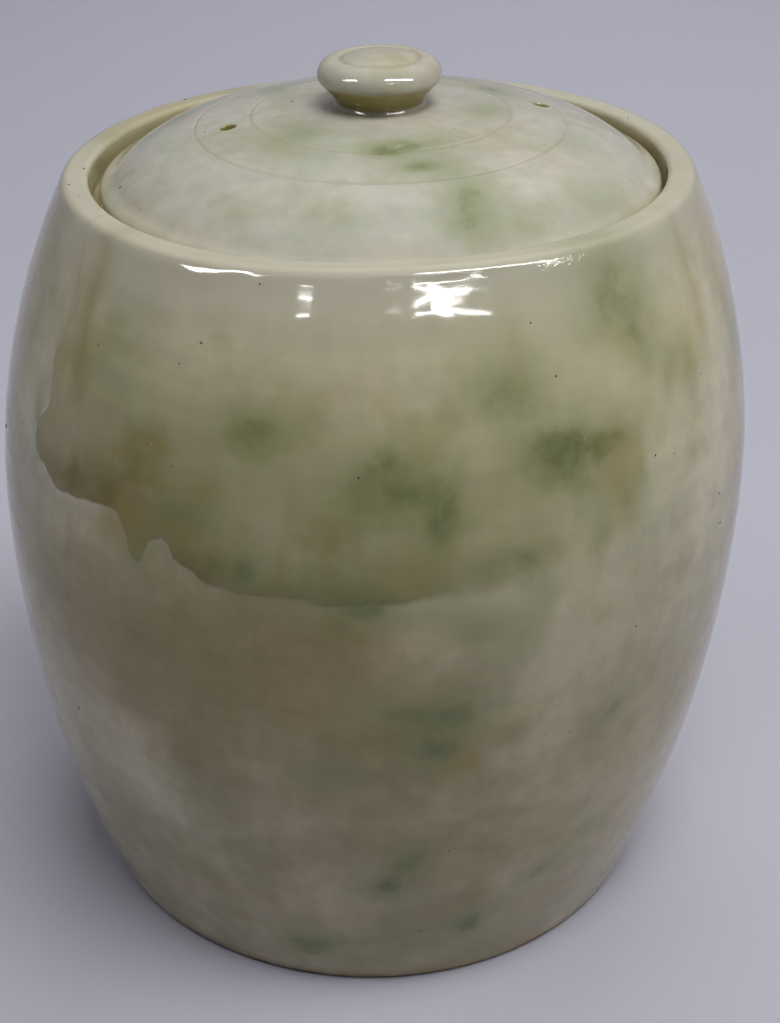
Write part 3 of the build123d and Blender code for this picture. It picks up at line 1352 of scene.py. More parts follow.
# ---- Pieces ---------------------------------------------------------------------------------
@dataclass
class TurnedPiece:
    """A piece turned on the wheel, made from a half section by the turned_form tree."""

    node: str
    body: str
    slot: str
    glaze: StonewareGlaze
    lean: Lean
    columns: int
    out_of_round: float = 0.0
    ring_depth: float = 0.0
    ring_spacing: float = 10.0
    ripple_depth: float = 0.05
    ripple_size: float = 16.0
    seed: float = 3.0
    thrown_zones: tuple[Zone, ...] = (Zone.WALL, Zone.INSIDE)

    def outline(self) -> Outline:
        """The piece's half section."""
        raise NotImplementedError

    def paint(self, skin: Skin) -> None:
        """Shapes the relief of the glaze and paints its marks."""
        raise NotImplementedError

    def section_mesh(self, points: np.ndarray, zones: np.ndarray) -> Any:
        """Makes the line of points that the tree turns.

        Args:
            points: radius and height of each point in millimetres.
            zones: the zone of each point.

        Returns:
            A mesh of edges with the attribute "thrown".
        """
        mesh = bpy.data.meshes.new(self.node + "_section")
        line = [(radius * MM, 0.0, height * MM) for radius, height in points]
        mesh.from_pydata(line, [(n, n + 1) for n in range(len(line) - 1)], [])
        thrown = np.isin(zones, self.thrown_zones).astype(float)
        for _ in range(3):
            thrown[1:-1] = (thrown[:-2] + thrown[1:-1] * 2 + thrown[2:]) / 4
        thrown[[0, -1]] = 0.0
        mesh.attributes.new("thrown", "FLOAT", "POINT").data.foreach_set("value", thrown)
        return mesh

    def build(self, tree: Any) -> Any:
        """Builds and dresses the piece.

        Args:
            tree: the turned_form tree.

        Returns:
            The finished object, riding on its body in place of its node.
        """
        points, zones = self.outline().rounded()
        piece = grown(
            self.node + "_glazed",
            self.section_mesh(points, zones),
            tree,
            {
                "Columns": self.columns,
                "Out of Round": self.out_of_round,
                "Ring Depth": self.ring_depth * MM,
                "Ring Spacing": self.ring_spacing * MM,
                "Ripple Depth": self.ripple_depth * MM,
                "Ripple Size": self.ripple_size * MM,
                "Seed": self.seed,
                "Material": self.glaze.material(),
            },
        )
        self.work(piece.data)
        skin = Skin(piece.data, zones)
        self.paint(skin)
        skin.settle(self.lean, self.shift())
        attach(piece, self.body)
        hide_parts(self.node)
        log.info("%s: %d faces in place of %s", piece.name, len(piece.data.polygons), self.node)
        return piece

    def work(self, mesh: Any) -> None:
        """Cuts into the turned mesh before it is painted. Most pieces need nothing."""

    def shift(self) -> float:
        """Millimetres that the piece lies off the axis towards +X."""
        return 0.0


@dataclass
class JarBody(TurnedPiece):
    """The jar: foot ring, belly, lip, the gallery that takes the lid, and the inside."""

    foot_radius: float = 104.5
    belly_height: float = 150.5
    lip_radius: float = 102.5
    wall: float = 8.0
    floor_height: float = 12.0
    floor_corner: float = 16.0
    foot_bevel: float = 2.2
    recess_radius: float = 89.5
    recess_depth: float = 3.0
    lip_thickness: float = 8.2
    lip_outer_rounding: float = 3.4
    lip_inner_rounding: float = 2.0
    gallery_depth: float = 10.9
    ledge_width: float = 10.0
    ledge_thickness: float = 5.5
    ledge_root_drop: float = 24.0
    ledge_rounding: float = 1.6
    wall_step: float = 2.3
    inside_step: float = 7.0
    edge_step: float = 1.2
    mm_a_radian: float = 124.0
    glaze_line: float = 2.6
    coat_top: float = 252.0
    coat_full: float = 186.0
    coat_share: float = 0.68
    share_lost_right: float = 0.56
    share_gained_left: float = 0.46
    edge_bead: float = 0.26
    thin_and_shade_below: float = 0.62
    thin_patch: Patch = Patch(-20.0, 144.0, 27.0, 36.0)
    thin_in_patch: float = 0.36
    full_patch: Patch = Patch(-33.0, 88.0, 17.0, 28.0)
    less_thin_in_patch: float = 0.17
    side_shade_right: float = 0.52
    side_shade_left: float = 0.34
    coat_lift: float = 0.18
    edge_lift: float = 0.14
    foot_roll: float = 0.25
    tool_spacing: float = 3.4
    tool_depth: float = 0.12

    def outline(self) -> Outline:
        """Draws the half section from the underside's middle round to the inside's.

        Returns:
            The outline.
        """
        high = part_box(self.node)[1]
        belly, rim = high.x / MM, high.z / MM
        gallery = self.lip_radius - self.lip_thickness
        mouth = gallery - self.ledge_width
        ledge = rim - self.gallery_depth
        root = ledge - self.ledge_root_drop

        def inside(height: float) -> complex:
            """The wall's inside at a height."""
            inset = belly - (self.foot_radius if height < self.belly_height else self.lip_radius)
            rise = self.belly_height if height < self.belly_height else rim - self.belly_height
            arc = (rise**2 + inset**2) / (2 * inset)
            off = height - self.belly_height
            return complex(belly - arc + math.sqrt((arc - self.wall) ** 2 - off**2), height)

        def upright(start: complex, end: complex) -> complex:
            """Direction at the start of an arc that ends upright."""
            chord = end - start
            return chord**2 / abs(chord) ** 2 / 1j

        corner = inside(self.floor_height)
        root_point = inside(root)
        foot, waist = complex(self.foot_radius, 0), complex(belly, self.belly_height)
        drawn = Outline()
        drawn.start(0, self.recess_depth, Zone.BARE)
        drawn.line(self.recess_radius, self.recess_depth, Zone.BARE, self.inside_step)
        drawn.round_here(0.8)
        drawn.line(self.recess_radius, 0, Zone.BARE, 2.0)
        drawn.round_here(1.2)
        drawn.line(self.foot_radius, 0, Zone.BARE, 4.0)
        drawn.round_here(self.foot_bevel)
        drawn.arc(belly, self.belly_height, upright(foot, waist), Zone.WALL, self.wall_step)
        drawn.arc(self.lip_radius, rim, 1j, Zone.WALL, self.wall_step)
        drawn.round_here(self.lip_outer_rounding, Zone.LIP)
        drawn.line(gallery, rim, Zone.LIP, self.edge_step)
        drawn.round_here(self.lip_inner_rounding)
        drawn.line(gallery, ledge, Zone.GALLERY, self.edge_step)
        drawn.round_here(self.ledge_rounding)
        drawn.line(mouth, ledge, Zone.SEAT, 2.5)
        drawn.round_here(self.ledge_rounding)
        drawn.line(mouth, ledge - self.ledge_thickness, Zone.INSIDE, 2.0)
        drawn.round_here(self.ledge_rounding)
        drawn.line(root_point.real, root, Zone.INSIDE, 5.0)
        drawn.round_here(10.0)
        inner_waist = complex(belly - self.wall, self.belly_height)
        drawn.arc(
            inner_waist.real, inner_waist.imag, upright(root_point, inner_waist) * -1,
            Zone.INSIDE, self.inside_step,
        )
        drawn.arc(corner.real, corner.imag, -1j, Zone.INSIDE, self.inside_step)
        drawn.round_here(self.floor_corner)
        drawn.line(0, self.floor_height, Zone.INSIDE, self.inside_step)
        return drawn

    def paint(self, skin: Skin) -> None:
        """Lays on the two coats of glaze, the sponge dabs, the pools and the bare foot.

        Args:
            skin: the jar's points.
        """
        noise = ClayNoise(5)
        coat = self.pour_coat(skin, noise)
        self.drain_coat(skin, noise, coat)
        self.paint_thin_dip_and_shade(skin, noise)
        outside = skin.in_zones(Zone.WALL, Zone.LIP)
        marks = skin.dabbed(WALL_DABS, skin.height, np.full(len(coat), self.mm_a_radian))
        for tint, strength in marks.items():
            skin.paint(tint.value, np.where(outside, strength, 0.0))
        line = self.wipe_foot(skin, noise)
        self.pool_glaze(skin, noise, line)
        self.raise_glaze(skin, noise, coat, line)
        self.trim_underside(skin)

    def sides(self, skin: Skin) -> tuple[np.ndarray, np.ndarray, np.ndarray]:
        """Tells the right of the front from its left, and both from the back.

        Args:
            skin: the jar's points.

        Returns:
            How far each point is to the right, to the left and in front, from 0 to 1.
        """
        front = 1.0 - smoothstep(np.abs(skin.bearing), 64.0, 88.0)
        right = smoothstep(skin.bearing, -2.0, 22.0) * front
        left = smoothstep(-skin.bearing, 8.0, 34.0) * front
        return right, left, front

    def pour_coat(self, skin: Skin, noise: ClayNoise) -> np.ndarray:
        """Paints where the second coat lies.

        Args:
            skin: the jar's points.
            noise: the jar's unevenness.

        Returns:
            Millimetres inside the coat's edge.
        """
        # On the right of the front the second coat fades out instead of ending in an edge.
        fade = 1.0 + 14.0 * np.exp(-((signed_turn(skin.bearing, 31.0) / 16.0) ** 2))
        fade += 2.0 * smoothstep(skin.bearing, 40.0, 56.0)
        wander = noise.at(skin.place, 7.0, 2) * 1.8
        front = (skin.depth_in(FRONT_POUR, self.mm_a_radian) + wander) / fade
        back = skin.depth_in(BACK_POUR, self.mm_a_radian) + wander
        coat = np.clip(np.maximum(front, back), -20.0, 20.0)
        coat = np.where(skin.in_zones(Zone.WALL, Zone.LIP), coat, -20.0)
        skin.paint("coat", coat)
        return coat

    def drain_coat(self, skin: Skin, noise: ClayNoise, coat: np.ndarray) -> None:
        """Paints how thick the second coat is. It drained from the lip and is thick below.

        Args:
            skin: the jar's points.
            noise: the jar's unevenness.
            coat: millimetres inside the coat's edge.
        """
        right, left, front = self.sides(skin)
        drained = (self.coat_top - skin.height) / (self.coat_top - self.coat_full)
        drained = drained + 0.18 * noise.at(skin.place, (38.0, 38.0, 24.0), 3)
        drained = np.clip(drained, 0.04, 1.15)
        drained = drained ** (1.0 + smoothstep(-skin.bearing, 38.0, 52.0) * front)
        share = self.coat_share - self.share_lost_right * right + self.share_gained_left * left
        # It curdled into patches and runs, and is heaviest just above its edge.
        share = share + 0.17 * noise.at(skin.place, (12.0, 12.0, 17.0), 3)
        share = share + 0.12 * noise.at(skin.place, (4.5, 4.5, 36.0), 2)
        heavy = self.edge_bead * np.exp(-(((coat - 2.0) / 4.0) ** 2))
        heavy = heavy * (1.0 - smoothstep(skin.bearing, 18.0, 34.0))
        skin.paint("thickness", np.clip(drained * share + heavy * drained, 0.0, 1.15))

    def paint_thin_dip_and_shade(self, skin: Skin, noise: ClayNoise) -> None:
        """Paints where the first dip is thin, mixed with painted shade, and the pale crest of the
        wall.

        Args:
            skin: the jar's points.
            noise: the jar's unevenness.
        """
        outside = skin.in_zones(Zone.WALL, Zone.LIP)
        right, _, front = self.sides(skin)
        # The first dip drained as well: it is thinnest in a patch under the second coat.
        # The same mark paints shade: darker lower down, less on the right, most in that patch.
        thin = self.thin_and_shade_below * (1.0 - smoothstep(skin.height, 150.0, 215.0))
        thin = thin * (1.0 - 0.35 * right * smoothstep(skin.height, 110.0, 150.0))
        patch = self.thin_patch.at(skin.bearing, skin.height)
        thin = thin + self.thin_in_patch * patch * (1.0 - right)
        thin = thin - self.less_thin_in_patch * self.full_patch.at(skin.bearing, skin.height)
        # Painted shade: the glaze is made darker round both sides, where the jar's edges
        # are seen from the front, more on the right.
        held = smoothstep(np.abs(skin.bearing), 56.0, 72.0)
        held = held * (1.0 - smoothstep(np.abs(skin.bearing), 96.0, 124.0))
        held = held * smoothstep(skin.height, 120.0, 190.0)
        thin = thin + np.where(skin.bearing > 0, self.side_shade_right, self.side_shade_left) * held
        # Painted shade: the left shoulder at the front is made darker.
        shoulder = smoothstep(-skin.bearing, 18.0, 44.0) * smoothstep(skin.height, 190.0, 226.0)
        thin = thin + 0.15 * shoulder * front
        thin = thin + 0.10 * noise.at(skin.place, (20.0, 20.0, 12.0), 3)
        skin.paint("thin", np.where(outside, thin, 0.0))
        crest = smoothstep(skin.height, 234.0, 262.0) * 0.8
        skin.paint("crest", np.where(outside, crest, 0.0))

    def wipe_foot(self, skin: Skin, noise: ClayNoise) -> np.ndarray:
        """Paints the clay that was left bare.

        Args:
            skin: the jar's points.
            noise: the jar's unevenness.

        Returns:
            The height of the glaze line at each point.
        """
        line = self.glaze_line + noise.at(skin.place, 14.0, 2) * 1.3
        bare = np.where(skin.zone == Zone.WALL, np.clip(line - skin.height, -4.0, 4.0), -4.0)
        bare[skin.in_zones(Zone.BARE, Zone.SEAT)] = 4.0
        skin.paint("bare", bare)
        return line

    def pool_glaze(self, skin: Skin, noise: ClayNoise, line: np.ndarray) -> None:
        """Paints the glaze that pooled inside the lip, on the floor and above the foot.

        Args:
            skin: the jar's points.
            noise: the jar's unevenness.
            line: the height of the glaze line.
        """
        gallery = self.lip_radius - self.lip_thickness
        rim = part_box(self.node)[1].z / MM
        down = smoothstep(rim - skin.height + noise.at(skin.place, 9.0, 2) * 0.8, 0.3, 3.4)
        pool = np.where(skin.radius < gallery + 2.4, down * 0.6, 0.0)
        pool = np.where(skin.in_zones(Zone.LIP, Zone.GALLERY), pool, 0.0)
        pool += np.where(skin.zone == Zone.INSIDE, 0.12, 0.0)
        above_line = 0.35 * np.exp(-((line - skin.height) / 1.6) ** 2)
        pool += np.where(skin.zone == Zone.WALL, above_line, 0)
        skin.paint("pool", pool)

    def raise_glaze(
        self, skin: Skin, noise: ClayNoise, coat: np.ndarray, line: np.ndarray
    ) -> None:
        """Raises the second coat, most along its edge, and rolls the glaze at the foot.

        Args:
            skin: the jar's points.
            noise: the jar's unevenness.
            coat: millimetres inside the coat's edge.
            line: the height of the glaze line.
        """
        step = self.coat_lift * smoothstep(coat, -1.2, 1.4)
        step = step + self.edge_lift * np.exp(-(((coat - 2.2) / 2.0) ** 2))
        step = step * smoothstep(self.coat_top - skin.height, 6.0, 40.0)
        roll = self.foot_roll * np.exp(-(((skin.height - line - 1.5) / 1.6) ** 2))
        uneven = 0.10 * noise.at(skin.place, (60.0, 60.0, 22.0), 2)
        near_lip = smoothstep(skin.height, 222.0, 240.0)
        uneven += 0.12 * noise.at(skin.place, (8.0, 8.0, 6.0), 3) * near_lip
        wall_only = (skin.zone == Zone.WALL).astype(float)
        skin.push((step + roll + uneven) * wall_only)

    def trim_underside(self, skin: Skin) -> None:
        """Cuts the trimming tool's spiral into the bare underside.

        Args:
            skin: the jar's points.
        """
        groove = np.sin(skin.radius / self.tool_spacing * math.tau / 2 + np.radians(skin.bearing))
        under = (skin.zone == Zone.BARE) & (skin.height > self.recess_depth - 0.1)
        skin.push(np.where(under & (skin.radius > 4.0), groove * self.tool_depth, 0.0))


@dataclass
class Lid(TurnedPiece):
    """The lid: a shallow dome with a brim, two scored rings and two vents."""

    edge_height: float = 7.4
    edge_rounding: float = 2.6
    edge_swell: float = 0.5
    land: float = 9.0
    land_rounding: float = 1.0
    hollow_edge: float = 4.8
    thickness: float = 6.5
    crown_radius: float = 268.0
    shoulder_radius: float = 62.0
    rise: float = 29.8
    brim_width: float = 4.6
    brim_rise: float = 2.4
    brim_hollow: float = 14.0
    scored_rings: tuple[float, ...] = (60.0, 42.0)
    scored_width: float = 1.3
    scored_depth: float = 0.24
    groove_margin: float = 1.8
    vents: tuple[tuple[float, float], ...] = ((104.5, 55.0), (-78.0, 49.5))
    vent_radius: float = 2.4
    off_axis: float = 0.9
    crown_step: float = 1.8
    groove_step: float = 0.3

    def crown(self, radius: float, below: float = 0.0) -> complex:
        """A point of the crown, or of the hollow this far below it."""
        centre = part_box(self.node)[0].z / MM + self.rise - self.crown_radius
        return complex(radius, centre + math.sqrt((self.crown_radius - below) ** 2 - radius**2))

    def tangent(self, radius: float, below: float = 0.0) -> complex:
        """Unit direction of the crown at a radius, going outwards."""
        slope = radius / (self.crown_radius - below)
        return complex(math.sqrt(1 - slope * slope), -slope)

    def outline(self) -> Outline:
        """Draws the half section from the hollow's middle round to the crown's.

        Returns:
            The outline.
        """
        low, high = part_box(self.node)
        ledge, edge = low.z / MM, high.x / MM + self.edge_swell
        hollow = edge - self.land
        brim = complex(edge - self.brim_width, ledge + self.edge_height + self.brim_rise)
        shoulder = self.crown(self.shoulder_radius)
        share = (self.crown_radius - self.thickness) / self.crown_radius
        inner = self.crown(self.shoulder_radius * share, self.thickness)
        drawn = Outline()
        drawn.start(0, self.crown(0, self.thickness).imag, Zone.INSIDE)
        drawn.arc(inner.real, inner.imag, 1 + 0j, Zone.INSIDE, 2.4)
        drawn.arc(
            hollow, ledge + self.hollow_edge, self.tangent(inner.real, self.thickness),
            Zone.INSIDE, 2.4,
        )
        drawn.line(hollow, ledge, Zone.INSIDE, 1.6)
        drawn.round_here(self.land_rounding)
        drawn.line(edge, ledge, Zone.SEAT, 2.0)
        drawn.round_here(self.land_rounding)
        drawn.line(edge, ledge + self.edge_height, Zone.LIP, 1.2)
        drawn.round_here(self.edge_rounding)
        drawn.line(brim.real, brim.imag, Zone.LIP, 1.2)
        drawn.round_here(self.brim_hollow, Zone.WALL)
        # The shoulder runs up from the brim and meets the crown without a corner.
        chord = shoulder - brim
        onto_crown = -self.tangent(self.shoulder_radius)
        leaving = (chord / abs(chord)) ** 2 / onto_crown
        drawn.arc(shoulder.real, shoulder.imag, leaving, Zone.WALL, self.crown_step)
        reached = self.shoulder_radius
        for ring in self.scored_rings:
            outer, within = ring + self.groove_margin, ring - self.groove_margin
            for stop, step in ((outer, self.crown_step), (within, self.groove_step)):
                if stop < reached:
                    end = self.crown(stop)
                    drawn.arc(end.real, end.imag, -self.tangent(reached), Zone.WALL, step)
                    reached = stop
        top = self.crown(0)
        drawn.arc(0, top.imag, -self.tangent(reached), Zone.WALL, self.crown_step)
        return drawn

    def shift(self) -> float:
        """Millimetres that the lid lies off the axis."""
        return self.off_axis

    def work(self, mesh: Any) -> None:
        """Pierces the two vents.

        Args:
            mesh: the turned lid.
        """
        for bearing, distance in self.vents:
            self.pierce(mesh, Vector(on_plan(bearing, distance)) * MM)

    def pierce(self, mesh: Any, centre: Vector) -> None:
        """Opens one vent with soft edges through the dome.

        Args:
            mesh: the lid.
            centre: where the vent's axis is, seen from above.
        """
        shell = bmesh.new()
        shell.from_mesh(mesh)
        row = shell.verts.layers.int["row"]
        clear = (self.vent_radius + 2.4) * MM
        gone = [
            face for face in shell.faces
            if (face.calc_center_median().xy - centre).length < clear
        ]
        middle = sum(face.calc_center_median().z for face in gone) / len(gone)
        bmesh.ops.delete(shell, geom=gone, context="FACES")
        rim = {vert for edge in shell.edges if edge.is_boundary for vert in edge.verts}
        # Each ring is (distance from the axis, height above the surface), towards the hole.
        burr = ((1.3, 0.06), (0.8, 0.16), (0.4, 0.14), (0.15, -0.1), (0.02, -0.5), (0.0, -1.1))
        plain = ((0.9, 0.0), (0.5, 0.0), (0.15, 0.15), (0.0, 0.6))
        hole_edges = []
        for above, rings in ((True, burr), (False, plain)):
            loop = sorted(
                (vert for vert in rim if (vert.co.z > middle) == above),
                key=lambda vert: math.atan2(*(vert.co.xy - centre)),
            )
            spots = np.array([[*(v.co.xy - centre), 1.0] for v in loop])
            plane = np.linalg.lstsq(spots, np.array([v.co.z for v in loop]), rcond=None)[0]
            for beyond, lift in rings:
                reach = (self.vent_radius + beyond) * MM
                inner = []
                for vert in loop:
                    way = (vert.co.xy - centre).normalized() * reach
                    height = plane @ (*way, 1.0) + lift * MM
                    new = shell.verts.new((*(centre + way), height))
                    new[row] = vert[row]
                    inner.append(new)
                for n in range(len(loop)):
                    m = (n + 1) % len(loop)
                    shell.faces.new((loop[n], loop[m], inner[m], inner[n])).smooth = True
                loop = inner
            hole_edges += [
                shell.edges.get((loop[n], loop[(n + 1) % len(loop)])) for n in range(len(loop))
            ]
        for face in bmesh.ops.bridge_loops(shell, edges=hole_edges)["faces"]:
            face.smooth = True
        bmesh.ops.recalc_face_normals(shell, faces=shell.faces)
        shell.to_mesh(mesh)
        shell.free()
        mesh.update()

    def paint(self, skin: Skin) -> None:
        """Scores the rings and paints the lid's glaze.

        Args:
            skin: the lid's points.
        """
        noise = ClayNoise(23)
        top = skin.in_zones(Zone.WALL, Zone.LIP)
        skin.dip_once()
        for tint, strength in skin.dabbed(LID_DABS, skin.radius, skin.radius).items():
            if tint is IRON:
                edge = np.exp(-(((skin.radius - 90.2) / 1.4) ** 2)) * 0.5
                band = np.exp(-(((skin.radius - 86.0) / 2.6) ** 2)) * 0.16
                uneven = 0.75 + 0.35 * noise.at(skin.place, 22.0, 2)
                strength = np.clip(strength + (edge + band) * uneven, 0.0, 1.0)
            skin.paint(tint.value, np.where(top, strength, 0.0))

        # Each scored ring is deeper in some places, and glaze has half filled it.
        wander = 0.72 + 0.4 * noise.at(skin.place, 26.0, 2)
        groove, burr = np.zeros(len(skin.place)), np.zeros(len(skin.place))
        for ring in self.scored_rings:
            off = np.abs(skin.radius - ring)
            groove = np.maximum(groove, np.exp(-((off / (self.scored_width * 0.38)) ** 2)))
            burr = np.maximum(burr, np.exp(-(((off - self.scored_width * 0.85) / 0.4) ** 2)))
        crown = skin.zone == Zone.WALL
        lift = (burr * 0.03 - groove * self.scored_depth) * wander
        lift += 0.08 * noise.at(skin.place, (34.0, 34.0, 34.0), 2)
        skin.push(np.where(crown, lift, 0.0))

        foot = np.exp(-(((skin.radius - 15.0) / 2.0) ** 2)) * 0.4
        pool = np.where(crown, groove * wander * 0.28 + foot, 0.0)
        for bearing, distance in self.vents:
            x, y = on_plan(bearing, distance)
            away = np.hypot(skin.place[:, 0] - x, skin.place[:, 1] - y)
            edge = smoothstep(away, self.vent_radius, self.vent_radius + 0.7)
            pool = np.maximum(pool, 1.0 - edge)
        skin.paint("pool", pool)
        skin.paint("bare", np.where(skin.zone == Zone.SEAT, 4.0, -4.0))


@dataclass
class Knob(TurnedPiece):
    """The knob: a mushroom head on a short cone, stuck to the lid with a fillet of slip."""

    foot_radius: float = 12.3
    skirt_radius: float = 14.6
    skirt_height: float = 0.3
    slip_rounding: float = 1.6
    brow_radius: float = 19.5
    brow_height: float = 8.0
    waist_height: float = 9.6
    head_height: float = 14.8
    dome_rise: float = 2.2
    boss_radius: float = 12.5
    ring_width: float = 1.3
    sunk: float = 0.6
    off_axis: float = 0.9
    step: float = 0.5

    def outline(self) -> Outline:
        """Draws the half section from under the foot round to the top of the boss.

        Returns:
            The outline.
        """
        low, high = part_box(self.node)
        seat, widest = low.z / MM, high.x / MM
        top = seat + self.head_height + self.dome_rise
        waist = complex(widest, seat + self.waist_height)
        boss = complex(self.boss_radius, seat + self.head_height)
        brow = complex(self.brow_radius, seat + self.brow_height)
        chord = waist - brow
        drawn = Outline()
        drawn.start(0, seat - self.sunk, Zone.SEAT)
        drawn.line(self.skirt_radius, seat - self.sunk, Zone.SEAT, 2.5)
        drawn.line(self.skirt_radius, seat, Zone.WALL, 0.4)
        drawn.round_here(0.25)
        drawn.line(self.foot_radius, seat + self.skirt_height, Zone.WALL, 0.4)
        drawn.round_here(self.slip_rounding)
        drawn.line(brow.real, brow.imag, Zone.WALL, 0.6)
        drawn.round_here(1.6)
        drawn.arc(waist.real, waist.imag, chord**2 / abs(chord) ** 2 / 1j, Zone.WALL, self.step)
        drawn.arc(boss.real, boss.imag, 1j, Zone.WALL, self.step)
        chord = complex(0, top) - boss
        drawn.arc(0, top, chord**2 / abs(chord) ** 2 / -1, Zone.WALL, self.step)
        return drawn

    def shift(self) -> float:
        """Millimetres that the knob lies off the axis."""
        return self.off_axis

    def paint(self, skin: Skin) -> None:
        """Scores the ring and pools the glaze round the neck.

        Args:
            skin: the knob's points.
        """
        noise = ClayNoise(31)
        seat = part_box(self.node)[0].z / MM
        up = skin.height - seat
        on_top = up > self.waist_height
        off = np.abs(skin.radius - self.boss_radius)
        groove = np.where(on_top, np.exp(-((off / (self.ring_width * 0.5)) ** 2)), 0.0)
        skin.push(-0.35 * groove + 0.1 * noise.at(skin.place, 15.0, 2) * (up > 0.5))
        neck = smoothstep(up, 0.6, 1.8) * (1.0 - smoothstep(up, 6.9, 8.9))
        skin.dip_once()
        skin.paint("pool", np.clip(neck * 1.1 + groove * 0.35 + 0.1, 0.0, 1.0))
        skin.paint("bare", np.full(len(up), -4.0))
        copper = 0.5 * smoothstep(noise.at(skin.place, 13.0, 2), 0.1, 0.7) * (up > 5.0)
        skin.paint("copper", copper)
        skin.paint("iron", 0.25 * smoothstep(noise.at(skin.place + 90.0, 9.0, 2), 0.1, 0.8))


@dataclass
class Specks:
    """Iron specks that burnt through the glaze, some placed one by one and some scattered."""

    surface: Any
    body: str
    slot: str
    count: int
    seed: int
    lowest: float
    placed: tuple[tuple[float, float, float], ...] = ()
    smallest: float = 0.12
    largest: float = 0.40
    flatness: float = 0.3
    mm_a_degree: float = 2.2

    def build(self, tree: Any, material: Any) -> Any:
        """Scatters the specks over a finished piece.

        Args:
            tree: the scattered_specks tree.
            material: the specks' material.

        Returns:
            The specks as one object.
        """
        place, facing = points_of(self.surface.data)
        outwards = np.hypot(place[:, 0] + facing[:, 0], place[:, 1] + facing[:, 1])
        seen = (outwards > np.hypot(place[:, 0], place[:, 1])) | (facing[:, 2] > 0.6)
        seen &= place[:, 2] > self.lowest
        draw = np.random.default_rng(self.seed)
        chosen = list(draw.choice(np.flatnonzero(seen), self.count, replace=False))
        spread = draw.random(self.count) ** 3
        sizes = list(self.smallest + (self.largest - self.smallest) * spread)
        bearing = np.degrees(np.arctan2(place[:, 0], -place[:, 1]))
        for turn, height, size in self.placed:
            miss = np.hypot(signed_turn(bearing, turn) * self.mm_a_degree, place[:, 2] - height)
            chosen.append(int(np.where(seen, miss, 1e9).argmin()))
            sizes.append(size)
        cloud = bpy.data.meshes.new(self.surface.name + "_points")
        cloud.from_pydata([tuple(p * MM) for p in place[chosen]], [], [])
        size = cloud.attributes.new("size", "FLOAT", "POINT")
        size.data.foreach_set("value", np.array(sizes) * MM)
        normal = cloud.attributes.new("facing", "FLOAT_VECTOR", "POINT")
        normal.data.foreach_set("vector", facing[chosen].ravel())
        piece = grown(
            self.surface.name.replace("_glazed", "_specks"),
            cloud,
            tree,
            {"Flatness": self.flatness, "Unevenness": 0.25 * MM, "Seed": float(self.seed),
             "Material": material},
        )
        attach(piece, self.body)
        log.info("%s: %d specks on %s", piece.name, len(chosen), self.surface.name)
        return piece


# ---- Studio -----------------------------------------------------------------------------------
class Aim(Enum):
    """Which way a lamp faces."""

    JAR = "at the jar"
    FLOOR = "straight down"


@dataclass(frozen=True)
class SoftLight:
    """A rectangular soft light. All sizes are in metres.

    Radiance is what a mirror would show, where 1 is white. A light either fills with soft
    light and leaves no reflection in the glaze, or it is mirrored there and adds no light.
    """

    name: str
    place: tuple[float, float, float]
    wide: float
    deep: float
    radiance: float
    aim: Aim = Aim.FLOOR
    mirrored: bool = False

    def build(self, target: Vector) -> None:
        """Hangs the light.

        Args:
            target: the point it faces if it is aimed at the jar.
        """
        lamp = bpy.data.lights.new(self.name, "AREA")
        lamp.shape = "RECTANGLE"
        lamp.size, lamp.size_y = self.wide, self.deep
        lamp.energy = self.radiance * math.pi * self.wide * self.deep
        held = bpy.data.objects.new(self.name, lamp)
        held.location = self.place
        if self.aim is Aim.JAR:
            held.rotation_euler = (target - held.location).to_track_quat("-Z", "Y").to_euler()
        held.visible_camera = False
        held.visible_glossy = self.mirrored
        held.visible_diffuse = not self.mirrored
        bpy.context.scene.collection.objects.link(held)


# Cloth-covered lights give the light, and two rows of ceiling tubes draw the highlights.
LIGHTS = (
    SoftLight("top_front", (0.25, -0.50, 1.60), 0.9, 0.5, 8.5, Aim.JAR),
    SoftLight("right_high", (1.35, -0.10, 1.60), 0.8, 0.8, 3.4, Aim.JAR),
    SoftLight("left_high", (-1.00, -0.30, 1.60), 0.8, 0.8, 2.1, Aim.JAR),
    SoftLight("right_low", (1.75, -0.45, 0.95), 1.0, 0.8, 1.3, Aim.JAR),
    SoftLight("above", (0.12, -0.22, 0.88), 0.4, 0.4, 1.7, Aim.JAR),
    SoftLight("back_wash", (0.25, 1.45, 1.70), 1.5, 1.0, 3.8),
    SoftLight("near_row_right", (1.35, -1.05, 1.65), 2.20, 0.45, 30.0, mirrored=True),
    SoftLight("near_row_left", (-2.15, -1.02, 1.65), 1.75, 0.45, 30.0, mirrored=True),
    SoftLight("far_tube_right", (1.38, -2.46, 1.65), 1.30, 0.04, 90.0, mirrored=True),
    SoftLight("far_panel_right", (0.80, -2.57, 1.65), 0.66, 0.05, 75.0, mirrored=True),
    SoftLight("far_panel_left", (-1.26, -2.46, 1.65), 0.20, 0.06, 60.0, mirrored=True),
    SoftLight("far_panel_middle", (0.20, -2.56, 1.65), 0.24, 0.05, 6.0, mirrored=True),
)


